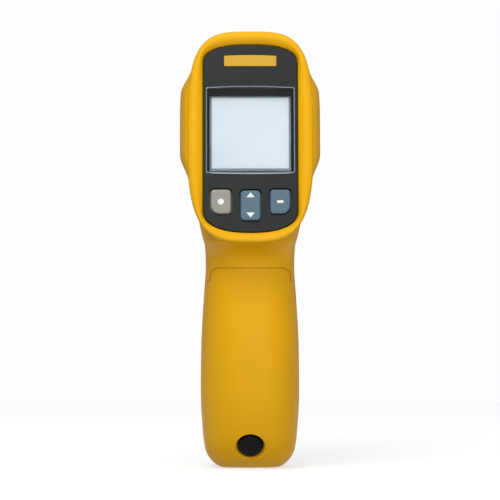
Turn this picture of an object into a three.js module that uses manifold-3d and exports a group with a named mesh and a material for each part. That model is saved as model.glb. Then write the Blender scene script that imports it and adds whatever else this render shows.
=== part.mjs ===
// A compact pistol-grip infrared thermometer, in millimetres.
// +Z is up, the display faces -Y and the infrared lens looks along +Y.
// The origin lies on the ground, in the middle of the body's box.
import * as THREE from 'three';
import { mergeVertices } from 'three/addons/utils/BufferGeometryUtils.js';
import Module from 'manifold-3d';

const wasm = await Module();
wasm.setup();

// ---- Overall sizes
const bodyHeight = 156;
const bodyWidth = 50; // across the two ears of the head
const bodyDepth = 80;
const lipHeight = 80.9; // ground to the lower lip of the display rim
const displayTilt = THREE.MathUtils.degToRad(16); // display leans back from upright

// ---- Housing
const wall = 2.4;
const gap = 0.3; // between pieces that touch or lie in a pocket
const earFlare = 2.7; // ears beyond the display rim, each side
const rimWidth = 5.65; // display rim, from its outer edge to the panel
const rimInset = 2.0; // crest of the rim, inside its outer edge
const rimDrop = 1.6; // crest of the rim, above its outer edge
const partingY = -2; // rear and front housings meet here
const noseLength = 7; // dark nose bezel
const handleWidth = 35.2;
const gripThickness = 1.1;
const gripLow = 10;
const gripHigh = 67;

// ---- Display panel, measured on the tilted display face
const panelDepth = 1.5; // panel surface below the crest of the rim
const panelThickness = 1.8;
const panelLedge = 1.5; // housing under the panel
const panelMarginLow = 4.5;
const panelMarginHigh = 4.6;
const labelLength = 18.6;
const labelWidth = 4;
const labelDrop = 4; // label below the panel's upper edge
const windowHalfWidth = 15.7;
const windowLow = 26.2;
const windowLength = 31.4;
const lcdHalfWidth = 14.5;
const lcdLength = 28.8;
const lcdDepth = 5.2; // front of the liquid crystal cell, below the crest
const lcdThickness = 1.8;
const frameWall = 0.5;
const backlightThickness = 1.6;
const boardDepth = 9.4; // front of the main board, below the crest
const boardThickness = 1.6;

// ---- Keys
const keyWidth = 7.2;
const keySideMargin = 2.55; // outer keys inside the panel's edge
const keyLow = 11.1;
const keyLength = 8.8;
const rockerLow = 8.7;
const rockerLength = 10.9;
const keyProud = 0.6; // above the panel's surface
const keyGap = 0.5;
const keyFlange = 0.6;
const keyTravel = 0.8;

// ---- Battery, its tray and its door
const batteryDiameter = 14.5;
const batteryLength = 50.5;
const batteryLow = 20;
const batteryClearance = 1.75; // battery to the hooks of the door
const trayWall = 1.5;
const contactSpringLength = 3.9;
const contactPlateThickness = 0.8;
const contactHalfWidth = 4;
const doorHalfWidth = 14.4; // straight part of the door's upper edge and its corners
const doorTop = 71.9;
const doorCorner = 3.4;
const doorShoulder = 1.5; // below the corners the door wraps round the handle
const doorEdgeY = -19.6; // door's front edge, on the handle's sides
const hookWidth = 4.5;
const hookSide = 1.5; // hooks, from the middle
const hookThickness = 1.6;
const hookFoot = 5; // hook's foot on the door, below its upper edge
const hookReach = 2.6; // hook's tip, above the door's upper edge
const latchDiameter = 9.3;
const latchHeight = 8;
const latchTilt = THREE.MathUtils.degToRad(30); // button faces down by this angle
const latchRecess = 0.6;
const latchPlay = 0.2;
const latchHeadHeight = 1.4;
const latchCupDepth = 6.2;
const latchCupWall = 1.5;
const latchFloor = 0.9;
const latchStemRadius = 1.8;

// ---- Trigger
const triggerWidth = 13;
const pivotY = 11;
const pivotZ = 101;
const pinRadius = 1.25;
const pinPlay = 0.1;

// ---- Optics
const lensHeight = 122;
const tubeRadius = 10;
const tubeWall = 1.8;
const tubeLength = 23;
const laserHeight = 140.5;
const laserRadius = 3;
const laserWindowRadius = 2.5;

// ---- Screws
const screwRadius = 1.0;
const screwHeadRadius = 2.1;
const screwHeadHeight = 1.4;
const bossRadius = 2.9;

// ---- Worked-out places
const rimHalfWidth = bodyWidth / 2 - earFlare;
const panelHalfWidth = rimHalfWidth - rimWidth;
const noseY = bodyDepth / 2;
const tanTilt = Math.tan(displayTilt);
const crestY = -bodyDepth / 2 - rimInset * tanTilt; // crest plane at lip height
const rimMiddle = lipHeight + 37.1; // height where the rim is widest
const crestPlane = (z) => crestY + (z - lipHeight) * tanTilt;
const panelLow = panelMarginLow;
const panelHigh = (bodyHeight - lipHeight) / Math.cos(displayTilt) - panelMarginHigh;
const keyPitch = panelHalfWidth - keySideMargin - keyWidth / 2;
const panelBack = -panelDepth - panelThickness;
const ledgeTop = panelBack - gap;
const ledgeBack = ledgeTop - panelLedge;
const trayRadius = batteryDiameter / 2 + gap;

const far = 200; // cutting blocks reach past everything

// ---- Solids
function solid(geometry) {
  const bare = geometry.index ? geometry : geometry.clone();
  bare.deleteAttribute('normal');
  bare.deleteAttribute('uv');
  const merged = mergeVertices(bare);
  return new wasm.Manifold(new wasm.Mesh({
    numProp: 3,
    vertProperties: new Float32Array(merged.attributes.position.array),
    triVerts: new Uint32Array(merged.index.array),
  }));
}

function geometryOf(manifold) {
  const mesh = manifold.getMesh();
  const geometry = new THREE.BufferGeometry();
  geometry.setAttribute('position', new THREE.BufferAttribute(new Float32Array(mesh.vertProperties), 3));
  geometry.setIndex(new THREE.BufferAttribute(new Uint32Array(mesh.triVerts), 1));
  geometry.computeVertexNormals();
  return geometry;
}

const join = (...solids) => solids.reduce((whole, piece) => whole.add(piece));
const cut = (base, ...tools) => tools.reduce((rest, tool) => rest.subtract(tool), base);

function block(lowX, highX, lowY, highY, lowZ, highZ) {
  const geometry = new THREE.BoxGeometry(highX - lowX, highY - lowY, highZ - lowZ);
  geometry.translate((lowX + highX) / 2, (lowY + highY) / 2, (lowZ + highZ) / 2);
  return solid(geometry);
}

// A round bar between two points.
function rod(start, end, radius, sides = 16) {
  const along = end.clone().sub(start);
  const geometry = new THREE.CylinderGeometry(radius, radius, along.length(), sides);
  geometry.translate(0, along.length() / 2, 0);
  const turn = new THREE.Quaternion().setFromUnitVectors(new THREE.Vector3(0, 1, 0), along.normalize());
  geometry.applyQuaternion(turn);
  geometry.translate(start.x, start.y, start.z);
  return solid(geometry);
}

const point = (x, y, z) => new THREE.Vector3(x, y, z);

// A turned piece: [radius, distance] pairs, with the distance measured along +Y.
function turned(profile, sides = 20) {
  return new THREE.LatheGeometry(profile.map(([r, y]) => new THREE.Vector2(r, y)), sides);
}

// A closed skin over rings of equal point count, with flat ends.
function loft(rings) {
  const count = rings[0].length;
  const points = rings.flat();
  const middle = (ring) => ring.reduce((sum, p) => sum.add(p), point(0, 0, 0)).divideScalar(count);
  points.push(middle(rings[0]), middle(rings.at(-1)));
  const first = points.length - 2;
  const lastRing = (rings.length - 1) * count;
  const index = [];
  for (let i = 0; i < count; i += 1) {
    const j = (i + 1) % count;
    index.push(first, j, i, first + 1, lastRing + i, lastRing + j);
    for (let k = 0; k < lastRing; k += count) {
      index.push(k + i, k + j, k + count + j, k + i, k + count + j, k + count + i);
    }
  }
  let volume = 0;
  for (let i = 0; i < index.length; i += 3) {
    const [a, b, c] = index.slice(i, i + 3).map((k) => points[k]);
    volume += a.dot(b.clone().cross(c));
  }
  if (volume < 0) index.reverse();
  const geometry = new THREE.BufferGeometry();
  const positions = new Float32Array(points.flatMap((p) => [p.x, p.y, p.z]));
  geometry.setAttribute('position', new THREE.BufferAttribute(positions, 3));
  geometry.setIndex(index);
  return geometry;
}

// ---- Outlines
const smooth = (from, to, value) => THREE.MathUtils.smoothstep(
  (value - from) / (to - from),
  0,
  1,
);

// Two superellipse caps joined by straight sides, as evenly spaced points.
// It starts in the middle of the low cap and goes round towards +X.
function capsule(shape, count) {
  const { halfWidth, low, lowCap, lowPower, high, highCap, highPower } = shape;
  const steps = 40;
  const half = [];
  for (let i = 0; i <= steps; i += 1) {
    const angle = (i / steps) * Math.PI / 2;
    const power = 2 / lowPower;
    half.push([halfWidth * Math.sin(angle) ** power, low - lowCap * Math.cos(angle) ** power]);
  }
  for (let i = 0; i <= steps; i += 1) {
    const angle = (i / steps) * Math.PI / 2;
    const power = 2 / highPower;
    half.push([halfWidth * Math.cos(angle) ** power, high + highCap * Math.sin(angle) ** power]);
  }
  const lengths = [0];
  for (let i = 1; i < half.length; i += 1) {
    lengths.push(lengths[i - 1] + Math.hypot(half[i][0] - half[i - 1][0], half[i][1] - half[i - 1][1]));
  }
  const right = [];
  let k = 1;
  for (let i = 0; i <= count / 2; i += 1) {
    const target = lengths.at(-1) * i / (count / 2);
    while (k < half.length - 1 && lengths[k] < target) k += 1;
    const share = (target - lengths[k - 1]) / Math.max(lengths[k] - lengths[k - 1], 1e-9);
    const [x0, y0] = half[k - 1];
    const [x1, y1] = half[k];
    right.push(new THREE.Vector2(x0 + (x1 - x0) * share, y0 + (y1 - y0) * share));
  }
  right[0].x = 0;
  right.at(-1).x = 0;
  const left = right.slice(1, -1).reverse().map((p) => new THREE.Vector2(-p.x, p.y));
  return [...right, ...left];
}

const inset = (shape, by) => ({
  ...shape,
  halfWidth: shape.halfWidth - by,
  lowCap: shape.lowCap - by,
  highCap: shape.highCap - by,
});

// A rectangle with a radius of its own at each corner.
function roundedRectangle(left, right, low, high, radii) {
  const [lowLeft, lowRight, highRight, highLeft] = radii;
  const shape = new THREE.Shape();
  shape.moveTo(left + lowLeft, low);
  shape.lineTo(right - lowRight, low);
  shape.absarc(right - lowRight, low + lowRight, lowRight, -Math.PI / 2, 0);
  shape.lineTo(right, high - highRight);
  shape.absarc(right - highRight, high - highRight, highRight, 0, Math.PI / 2);
  shape.lineTo(left + highLeft, high);
  shape.absarc(left + highLeft, high - highLeft, highLeft, Math.PI / 2, Math.PI);
  shape.lineTo(left, low + lowLeft);
  shape.absarc(left + lowLeft, low + lowLeft, lowLeft, Math.PI, 1.5 * Math.PI);
  return shape;
}

// A window outline whose lower and upper edges bow outwards.
function bowedRectangle(halfWidth, low, high, lowBow, highBow) {
  const shape = new THREE.Shape();
  const middle = (low + high) / 2;
  shape.moveTo(-halfWidth, low + lowBow);
  shape.quadraticCurveTo(0, low - lowBow, halfWidth, low + lowBow);
  shape.lineTo(halfWidth, middle);
  shape.lineTo(halfWidth, high - highBow);
  shape.quadraticCurveTo(0, high + highBow, -halfWidth, high - highBow);
  return shape;
}

// A flat piece between two levels, with an optional rounded edge.
function plate(shape, low, high, bevel = 0) {
  const geometry = new THREE.ExtrudeGeometry(shape, {
    depth: high - low - 2 * bevel,
    bevelEnabled: bevel > 0,
    bevelThickness: bevel,
    bevelSize: bevel,
    bevelOffset: -bevel,
    bevelSegments: 1,
    curveSegments: 3,
  });
  geometry.translate(0, 0, low + bevel);
  return geometry;
}

// ---- The frame of the tilted display: X across, Y up the display, Z out of it.
const displayFrame = new THREE.Group();
displayFrame.position.set(0, crestY, lipHeight);
displayFrame.rotation.x = Math.PI / 2 - displayTilt;
displayFrame.updateMatrixWorld(true);
const onDisplay = (geometry) => solid(geometry.clone().applyMatrix4(displayFrame.matrixWorld));
const displayPoint = (u, v, w) => point(u, v, w).applyMatrix4(displayFrame.matrixWorld);

// ---- Head: rings from the display rim to the nose.
// Each station: where it crosses the widest height, tilt of its plane as a share of the display's,
// half width, how far its top and bottom lie inside the box, and how much of the ears it carries.
const crestMiddleY = crestY + (rimMiddle - lipHeight) * tanTilt;
const edgeMiddleY = crestMiddleY + rimDrop / Math.cos(displayTilt);
const rimRoundY = crestMiddleY + rimDrop / 4;
const headStations = [
  { y: crestMiddleY, tilt: 1, half: rimHalfWidth - rimInset, top: rimInset, low: rimInset, ear: 0 },
  { y: rimRoundY, tilt: 1, half: rimHalfWidth - rimInset / 2, top: rimInset / 2, low: rimInset / 2, ear: 0 },
  { y: edgeMiddleY, tilt: 1, half: rimHalfWidth, top: 0, low: 0, ear: 0 },
  { y: edgeMiddleY + 1.5, tilt: 1, half: rimHalfWidth, top: 0.2, low: 0.4, ear: 0.4 },
  { y: edgeMiddleY + 5, tilt: 0.95, half: rimHalfWidth, top: 0.6, low: 1.6, ear: 0.8 },
  { y: edgeMiddleY + 11, tilt: 0.8, half: rimHalfWidth, top: 1.2, low: 3.5, ear: 1 },
  { y: edgeMiddleY + 21, tilt: 0.5, half: rimHalfWidth, top: 2, low: 7.5, ear: 1 },
  { y: noseY - 26, tilt: 0.2, half: rimHalfWidth - 0.3, top: 3.8, low: 12, ear: 0.6 },
  { y: noseY - 14, tilt: 0, half: rimHalfWidth - 1, top: 6.2, low: 16, ear: 0.2 },
  { y: noseY - 4, tilt: 0, half: rimHalfWidth - 2.2, top: 9, low: 19.5, ear: 0 },
  { y: noseY - 1.2, tilt: 0, half: rimHalfWidth - 3.1, top: 10, low: 20.5, ear: 0 },
  { y: noseY, tilt: 0, half: rimHalfWidth - 4.6, top: 11.5, low: 22, ear: 0 },
];

function headRing(station, inside, count) {
  const shape = {
    halfWidth: station.half - inside,
    low: rimMiddle,
    lowCap: rimMiddle - lipHeight - station.low - inside,
    lowPower: 3.2,
    high: rimMiddle,
    highCap: bodyHeight - station.top - rimMiddle - inside,
    highPower: 3.6,
  };
  return capsule(shape, count).map(({ x, y: z }) => {
    const ear = smooth(bodyHeight - 13, bodyHeight - 22, z) * smooth(lipHeight + 21, lipHeight + 31, z);
    const out = Math.sign(x) * earFlare * station.ear * ear;
    return point(x + out, station.y + (z - rimMiddle) * tanTilt * station.tilt, z);
  });
}

const headRingPoints = 36;
const outerHead = solid(loft(headStations.map((station) => headRing(station, 0, headRingPoints))));
const ledgeMiddleY = crestMiddleY - ledgeBack / Math.cos(displayTilt);
const innerStart = { ...headStations[5], y: ledgeMiddleY, tilt: 1, ear: headStations[4].ear };
const innerStations = [innerStart, ...headStations.slice(5, 10), { ...headStations[9], y: noseY - wall }];
const innerHead = solid(loft(innerStations.map((station) => headRing(station, wall, headRingPoints - 8))));

// ---- Handle: rings from the ground up into the head.
// Each station: height, half width, rear and front of the section.
const half = handleWidth / 2;
const lipY = -bodyDepth / 2;
const handleStations = [
  { z: 0, half: half - 8, rear: -15.2, front: 2.2 },
  { z: 1.2, half: half - 5.4, rear: -20.4, front: 3.9 },
  { z: 3, half: half - 3.4, rear: -23.4, front: 4.9 },
  { z: 5.5, half: half - 1.9, rear: -25.8, front: 5.6 },
  { z: 9, half: half - 1.1, rear: -27.8, front: 6 },
  { z: 14, half: half - 0.6, rear: -29.6, front: 6.2 },
  { z: 24, half, rear: -31.7, front: 6.2 },
  { z: 36, half, rear: -32.6, front: 6 },
  { z: 48, half: half - 0.3, rear: -32.2, front: 5.6 },
  { z: 60, half: half - 1, rear: -30.6, front: 5.1 },
  { z: 70, half: half - 1.7, rear: -28.8, front: 4.6 },
  { z: lipHeight - 6.4, half: half - 1.7, rear: lipY + 10.8, front: 4.4 },
  { z: lipHeight - 3.6, half: half - 1.6, rear: lipY + 8.4, front: 4.4 },
  { z: lipHeight - 1.4, half: half - 1.4, rear: lipY + 5, front: 4.5 },
  { z: lipHeight + 0.2, half: half - 1, rear: lipY + 2.4, front: 4.6 },
  { z: lipHeight + 4, half, rear: lipY + 4, front: 5 },
  { z: lipHeight + 14, half: half + 2, rear: lipY + 8, front: 6 },
];
const handleWidest = -11.5;
const handleRearPower = 2.3;
const handleFrontPower = 2.7;

function handleRing(station, inside, count) {
  const shape = {
    halfWidth: station.half - inside,
    low: handleWidest,
    lowCap: handleWidest - station.rear - inside,
    lowPower: handleRearPower,
    high: handleWidest,
    highCap: station.front - handleWidest - inside,
    highPower: handleFrontPower,
  };
  return capsule(shape, count).map(({ x, y }) => point(x, y, station.z));
}

// Half width, rear or front of the handle at a height, by straight interpolation.
function handleAt(key, z) {
  const k = handleStations.findIndex((station) => station.z > z);
  const [below, above] = [handleStations[k - 1], handleStations[k]];
  return THREE.MathUtils.mapLinear(z, below.z, above.z, below[key], above[key]);
}

// Inner face of the handle's rear wall, at a height and a distance from the middle.
function innerRear(z, x) {
  const across = (x / (handleAt('half', z) - wall)) ** handleRearPower;
  const depth = handleWidest - handleAt('rear', z) - wall;
  return handleWidest - depth * (1 - across) ** (1 / handleRearPower);
}

function handleSolid(inside) {
  const count = inside > gripThickness + gap ? 20 : 28;
  const rings = handleStations.map((station) => handleRing(station, inside, count));
  if (inside === 0) return solid(loft(rings));
  const raised = rings.slice(2).filter((ring) => ring[0].z > inside + 1.5);
  const floor = handleRing(handleStations[2], inside + 0.6, count);
  floor.forEach((p) => p.setZ(inside + 0.4));
  return solid(loft([floor, ...raised]));
}

const outer = join(outerHead, handleSolid(0));
const inner = join(innerHead, handleSolid(wall));
const shell = cut(outer, inner);

// ---- Openings of the rear housing
const panelShape = {
  halfWidth: panelHalfWidth,
  low: panelLow + 7.7,
  lowCap: 7.7,
  lowPower: 2.3,
  high: panelHigh - 7.15,
  highCap: 7.15,
  highPower: 2.6,
};
const panelOutline = (by, count = 30) => capsule(inset(panelShape, by), count);
const asShape = (points) => new THREE.Shape(points);
const rimChamfer = onDisplay(loft([
  panelOutline(-gap).map((p) => point(p.x, p.y, -panelDepth)),
  panelOutline(-gap - 1.6).map((p) => point(p.x, p.y, 0.05)),
]));
const recess = onDisplay(plate(asShape(panelOutline(-gap)), ledgeTop, -panelDepth + 0.05));
const windowHigh = windowLow + windowLength;
const lcdMiddle = (windowLow + windowHigh) / 2 - 0.2;
const lcdLow = lcdMiddle - lcdLength / 2;
const lcdHigh = lcdMiddle + lcdLength / 2;
const frameOutline = (by) => roundedRectangle(
  -lcdHalfWidth - by,
  lcdHalfWidth + by,
  lcdLow - by,
  lcdHigh + by,
  [0.3, 0.3, 0.3, 0.3],
);
const frameOuter = gap + frameWall;
const lcdOpening = onDisplay(plate(frameOutline(frameOuter + 0.35), ledgeBack - 6, 0));
const matHalfWidth = keyPitch + keyWidth / 2 + keyFlange;
const rockerHigh = rockerLow + rockerLength;
const keyOpening = onDisplay(plate(
  roundedRectangle(-matHalfWidth - gap, matHalfWidth + gap, rockerLow - 1.1, rockerHigh + 1.3, [4, 4, 1, 1]),
  ledgeBack - 6,
  0,
));

// ---- Battery door: the rear of the handle, with two rounded corners at the top.
// Its outline is drawn from behind and swept rearwards from the door's front edge.
function doorRegion(by) {
  const side = doorHalfWidth - by;
  const top = doorTop - by;
  const cornerLow = doorTop - doorCorner;
  const shoulder = cornerLow - doorShoulder - by;
  const radius = doorCorner - by;
  const shape = new THREE.Shape();
  shape.moveTo(-far, -far);
  shape.lineTo(far, -far);
  shape.lineTo(far, shoulder);
  shape.lineTo(side, shoulder);
  shape.absarc(side - radius, cornerLow, radius, 0, Math.PI / 2);
  shape.lineTo(-side + radius, top);
  shape.absarc(-side + radius, cornerLow, radius, Math.PI / 2, Math.PI);
  shape.lineTo(-side, shoulder);
  shape.lineTo(-far, shoulder);
  const geometry = plate(shape, by - doorEdgeY, far);
  geometry.applyMatrix4(new THREE.Matrix4().makeBasis(point(1, 0, 0), point(0, 0, 1), point(0, -1, 0)));
  return solid(geometry);
}

const latchOut = point(0, -Math.cos(latchTilt), -Math.sin(latchTilt));
const latchFace = point(0, handleAt('rear', latchHeight), latchHeight);
const alongLatch = (depth) => latchFace.clone().addScaledVector(latchOut, -depth);
const latchBore = latchDiameter / 2;

// ---- Screws that hold the two housings together
const upperScrewX = 12;
const upperScrewZ = bodyHeight - 11;
const lowerScrewX = 8;
const lowerScrewZ = 6.2;
const lowerLugRear = partingY - 4;
const housingScrews = [];
for (const side of [-1, 1]) {
  const name = side < 0 ? 'left' : 'right';
  housingScrews.push({
    name: `housing_screw_upper_${name}`,
    x: side * upperScrewX,
    z: upperScrewZ,
    seat: crestPlane(upperScrewZ) - ledgeTop / Math.cos(displayTilt) + 3.4,
    tip: partingY + 6,
  });
  housingScrews.push({
    name: `housing_screw_lower_${name}`,
    x: side * lowerScrewX,
    z: lowerScrewZ,
    seat: lowerLugRear,
    tip: partingY + 3.6,
  });
}

function screwHole(screw) {
  return join(
    rod(point(screw.x, screw.seat - 9, screw.z), point(screw.x, screw.seat, screw.z), screwHeadRadius + gap),
    rod(
      point(screw.x, screw.seat - 1, screw.z),
      point(screw.x, screw.tip + gap, screw.z),
      screwRadius + gap,
      12,
    ),
  );
}

// ---- Screws that hold the main board to bosses behind the panel
const boardLow = 8.5;
const boardHalfWidth = 13.4;
const boardHigh = panelHigh - 8.7;
const boardScrews = [
  { name: 'board_screw_upper_left', u: -boardHalfWidth + 2, v: boardHigh - 4.1 },
  { name: 'board_screw_upper_right', u: boardHalfWidth - 2, v: boardHigh - 4.1 },
  { name: 'board_screw_lower_left', u: -8, v: lcdLow - frameOuter - 2.7 },
  { name: 'board_screw_lower_right', u: 8, v: lcdLow - frameOuter - 2.7 },
];
const boardBack = -boardDepth - boardThickness;
const boardBossRadius = 1.9;

function boardBoss({ u, v }) {
  return rod(displayPoint(u, v, ledgeBack + 0.8), displayPoint(u, v, -boardDepth + gap), boardBossRadius, 16);
}

function boardScrewHole({ u, v }) {
  return rod(displayPoint(u, v, ledgeBack - 0.6), displayPoint(u, v, boardBack - 1), screwRadius + gap, 12);
}

// ---- Rear housing
const door = doorRegion(0);
const rearHalf = shell.intersect(block(-far, far, -far, partingY, -far, far));
const upperBosses = housingScrews.filter((screw) => screw.z > lipHeight).map((screw) => rod(
  point(screw.x, crestPlane(screw.z) - ledgeTop / Math.cos(displayTilt) + 1, screw.z),
  point(screw.x, partingY, screw.z),
  bossRadius,
));
const lowerLug = block(
  -lowerScrewX - bossRadius,
  lowerScrewX + bossRadius,
  lowerLugRear,
  partingY,
  0.6,
  lowerScrewZ + bossRadius,
).intersect(outer);
const rearHousing = cut(
  join(rearHalf, ...upperBosses, lowerLug, ...boardScrews.map(boardBoss)),
  rimChamfer,
  recess,
  lcdOpening,
  keyOpening,
  door,
  ...housingScrews.map(screwHole),
  ...boardScrews.map(boardScrewHole),
);

// ---- Battery door with its latch cup and two hooks
const latchCup = rod(
  alongLatch(-latchCupDepth),
  alongLatch(latchCupDepth + latchFloor),
  latchBore + latchCupWall,
).intersect(outer);
const hookRear = innerRear(doorTop, hookSide + hookWidth) + gap;
const footRear = handleAt('rear', doorTop) + wall / 2;
const hookFront = hookRear + hookThickness;
const hooks = [-1, 1].map((side) => {
  const ends = [side * hookSide, side * (hookSide + hookWidth)];
  const [lowX, highX] = [Math.min(...ends), Math.max(...ends)];
  return join(
    block(lowX, highX, footRear, hookFront, doorTop - hookFoot, doorTop - gap),
    block(lowX, highX, hookRear, hookFront, doorTop - hookFoot, doorTop + hookReach),
  ).intersect(outer);
});
const doorShell = shell.intersect(doorRegion(gap));
const batteryDoor = cut(
  join(doorShell, latchCup.intersect(doorRegion(gap)), ...hooks),
  rod(alongLatch(-6), alongLatch(latchCupDepth), latchBore),
  rod(alongLatch(0), alongLatch(latchCupDepth + latchFloor + 2), latchStemRadius + gap),
);

// ---- Front housing, grip and nose bezel
const noseStart = noseY - noseLength;
const frontHalf = shell.intersect(block(-far, far, partingY + gap, noseStart - gap, -far, far));
const gripBlock = (by) => block(-far, far, partingY + 2 - by, far, gripLow - by, gripHigh + by);
const frontGrip = cut(handleSolid(0).intersect(gripBlock(0)), handleSolid(gripThickness));
const gripSeat = cut(gripBlock(gap), handleSolid(gripThickness + gap));
const slotHalfWidth = triggerWidth / 2 + 0.6;
const triggerSlot = block(
  -slotHalfWidth,
  slotHalfWidth,
  partingY + 0.2,
  pivotY + 7.5,
  gripHigh + 3.5,
  pivotZ - 2,
);
const frontBosses = housingScrews.map((screw) => rod(
  point(screw.x, partingY + gap, screw.z),
  point(screw.x, screw.tip + 2, screw.z),
  bossRadius,
));
const bossRibs = housingScrews.filter((screw) => screw.z > lipHeight).map((screw) => block(
  screw.x - 0.8,
  screw.x + 0.8,
  partingY + gap,
  screw.tip + 2,
  screw.z,
  bodyHeight,
));
const lugInner = triggerWidth / 2 + 1.2;
const lugOuter = lugInner + 2.4;
const lugs = [-1, 1].map((side) => block(
  Math.min(side * lugInner, side * lugOuter),
  Math.max(side * lugInner, side * lugOuter),
  pivotY - 3.4,
  pivotY + 3.4,
  lipHeight + 9,
  pivotZ + 3.2,
));
const tubeBack = noseY - 4 - tubeLength;
const tubeCut = rod(point(0, tubeBack - 1, lensHeight), point(0, noseY, lensHeight), tubeRadius + gap, 32);
const cradle = block(-7, 7, noseStart - 12, noseStart - 9.5, lipHeight + 14, lensHeight - 3);
const pinHole = rod(
  point(-lugOuter - 1, pivotY, pivotZ),
  point(lugOuter + 1, pivotY, pivotZ),
  pinRadius + pinPlay,
  24,
);
const ribs = [...frontBosses, ...bossRibs, ...lugs, cradle].map((rib) => rib.intersect(outer));
const frontSolid = join(frontHalf, ...ribs);
const frontHousing = cut(
  frontSolid,
  gripSeat,
  triggerSlot,
  tubeCut,
  pinHole,
  ...housingScrews.map(screwHole),
);

const apertureRadius = 8.4;
const aperture = solid(turned([
  [0, noseY - noseLength - 2],
  [apertureRadius, noseY - noseLength - 2],
  [apertureRadius, noseY - 3.6],
  [apertureRadius + 3.6, noseY + 0.02],
  [apertureRadius + 3.6, noseY + 2],
  [0, noseY + 2],
], 32).translate(0, 0, lensHeight));
const noseShell = outer.intersect(block(-far, far, noseStart, far, -far, far));
const noseHollow = innerHead.intersect(block(-far, far, -far, noseY - wall, -far, far));
const laserHole = rod(
  point(0, noseStart, laserHeight),
  point(0, noseY + 1, laserHeight),
  laserWindowRadius + gap,
  20,
);
const tubeSocket = rod(
  point(0, noseStart - 1, lensHeight),
  point(0, noseY - 3.7, lensHeight),
  tubeRadius + gap,
  32,
);
const noseBezel = cut(noseShell, noseHollow, aperture, laserHole, tubeSocket);

// ---- Materials
function paint(color, roughness, metalness = 0, extra = {}) {
  return new THREE.MeshStandardMaterial({ color, roughness, metalness, ...extra });
}
const yellow = () => paint(0xe3a71a, 0.5);
const darkPlastic = () => paint(0x2a2d2e, 0.55);
const panelPlastic = () => paint(0x3a3f40, 0.4);
const steel = () => paint(0xb9bcc0, 0.3, 1);
const clear = (color) => paint(color, 0.08, 0, { transparent: true, opacity: 0.35 });

// ---- Assembly
const thermometer = new THREE.Group();
thermometer.add(displayFrame);

function add(name, geometry, material, parent = thermometer) {
  const mesh = new THREE.Mesh(geometry, material);
  mesh.name = name;
  parent.add(mesh);
  return mesh;
}

const addSolid = (name, manifold, material) => add(name, geometryOf(manifold), material);
const addOnDisplay = (name, geometry, material) => add(name, geometry, material, displayFrame);

addSolid('rear_housing', rearHousing, yellow());
addSolid('front_housing', frontHousing, yellow());
addSolid('nose_bezel', noseBezel, darkPlastic());
addSolid('front_grip', frontGrip, paint(0x202224, 0.8));
addSolid('battery_door', batteryDoor, yellow());

// The display panel has a hole for the window and a well for each key.
function keyOutline(key, by) {
  const radii = key.radii.map((radius) => radius + by);
  const halfWidth = keyWidth / 2 + by;
  return roundedRectangle(key.u - halfWidth, key.u + halfWidth, key.low - by, key.high + by, radii);
}
const keyHigh = keyLow + keyLength;
const corner = 1.2; // corner radius of a key
const wide = 3; // outer lower corner of an outer key
const leftCorners = [wide, corner, corner, corner];
const rightCorners = [corner, wide, corner, corner];
const grey = 0xa8a59c;
const blue = 0x60778a;
const keys = [
  { name: 'key_select', u: -keyPitch, low: keyLow, high: keyHigh, radii: leftCorners, color: grey },
  { name: 'key_up_down', u: 0, low: rockerLow, high: rockerHigh, radii: Array(4).fill(corner), color: blue },
  { name: 'key_set', u: keyPitch, low: keyLow, high: keyHigh, radii: rightCorners, color: blue },
];
const windowShape = (by) => bowedRectangle(windowHalfWidth + by, windowLow - by, windowHigh + by, 0.2, 0.35);
const panelFace = asShape(panelOutline(0));
panelFace.holes.push(windowShape(0.25), ...keys.map((key) => keyOutline(key, keyGap)));
addOnDisplay('display_panel', plate(panelFace, panelBack, -panelDepth), panelPlastic());
addOnDisplay(
  'display_window',
  plate(windowShape(0), panelBack + 0.1, -panelDepth + 0.1, 0.2),
  clear(0xe8f0f4),
);
const labelHigh = panelHigh - labelDrop;
const labelFace = roundedRectangle(
  -labelLength / 2,
  labelLength / 2,
  labelHigh - labelWidth,
  labelHigh,
  [0.4, 0.4, 0.4, 0.4],
);
addOnDisplay('label_plate', plate(labelFace, -panelDepth + 0.05, -panelDepth + 0.4), paint(0xe2b241, 0.4));

// Keys: a cap with a rounded top and a hidden flange under the panel.
const keyTop = -panelDepth + keyProud;
const flangeTop = panelBack - 0.45;
const keyBottom = flangeTop - 0.65;
for (const key of keys) {
  const cap = solid(plate(keyOutline(key, 0), flangeTop - 0.3, keyTop, 0.4));
  const flange = solid(plate(keyOutline(key, keyFlange), keyBottom, flangeTop));
  addOnDisplay(key.name, geometryOf(join(cap, flange)), paint(key.color, 0.45));
}
const matTop = keyBottom - keyTravel - gap;
const matBack = matTop - 1;
addOnDisplay(
  'keypad_mat',
  plate(
    roundedRectangle(-matHalfWidth, matHalfWidth, rockerLow - 0.8, rockerHigh + 1, [3, 3, 1, 1]),
    matBack,
    matTop,
  ),
  paint(0x1c1d1e, 0.8),
);

// Tact switches on the main board, one under each pressed spot.
const switchTop = matBack - gap;
const switchBottom = -boardDepth + gap;
const keyMiddle = keyLow + keyLength / 2;
const switches = [
  ['key_switch_select', -keyPitch, keyMiddle],
  ['key_switch_up', 0, rockerHigh - 3],
  ['key_switch_down', 0, rockerLow + 3],
  ['key_switch_set', keyPitch, keyMiddle],
];
for (const [name, u, v] of switches) {
  const face = roundedRectangle(u - 2.2, u + 2.2, v - 2.2, v + 2.2, [0.3, 0.3, 0.3, 0.3]);
  const body = solid(plate(face, switchBottom, switchTop - 0.5));
  const plunger = rod(point(u, v, switchTop - 0.7), point(u, v, switchTop), 1.1, 14);
  addOnDisplay(name, geometryOf(join(body, plunger)), paint(0x2b2b2d, 0.5));
}

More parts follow.
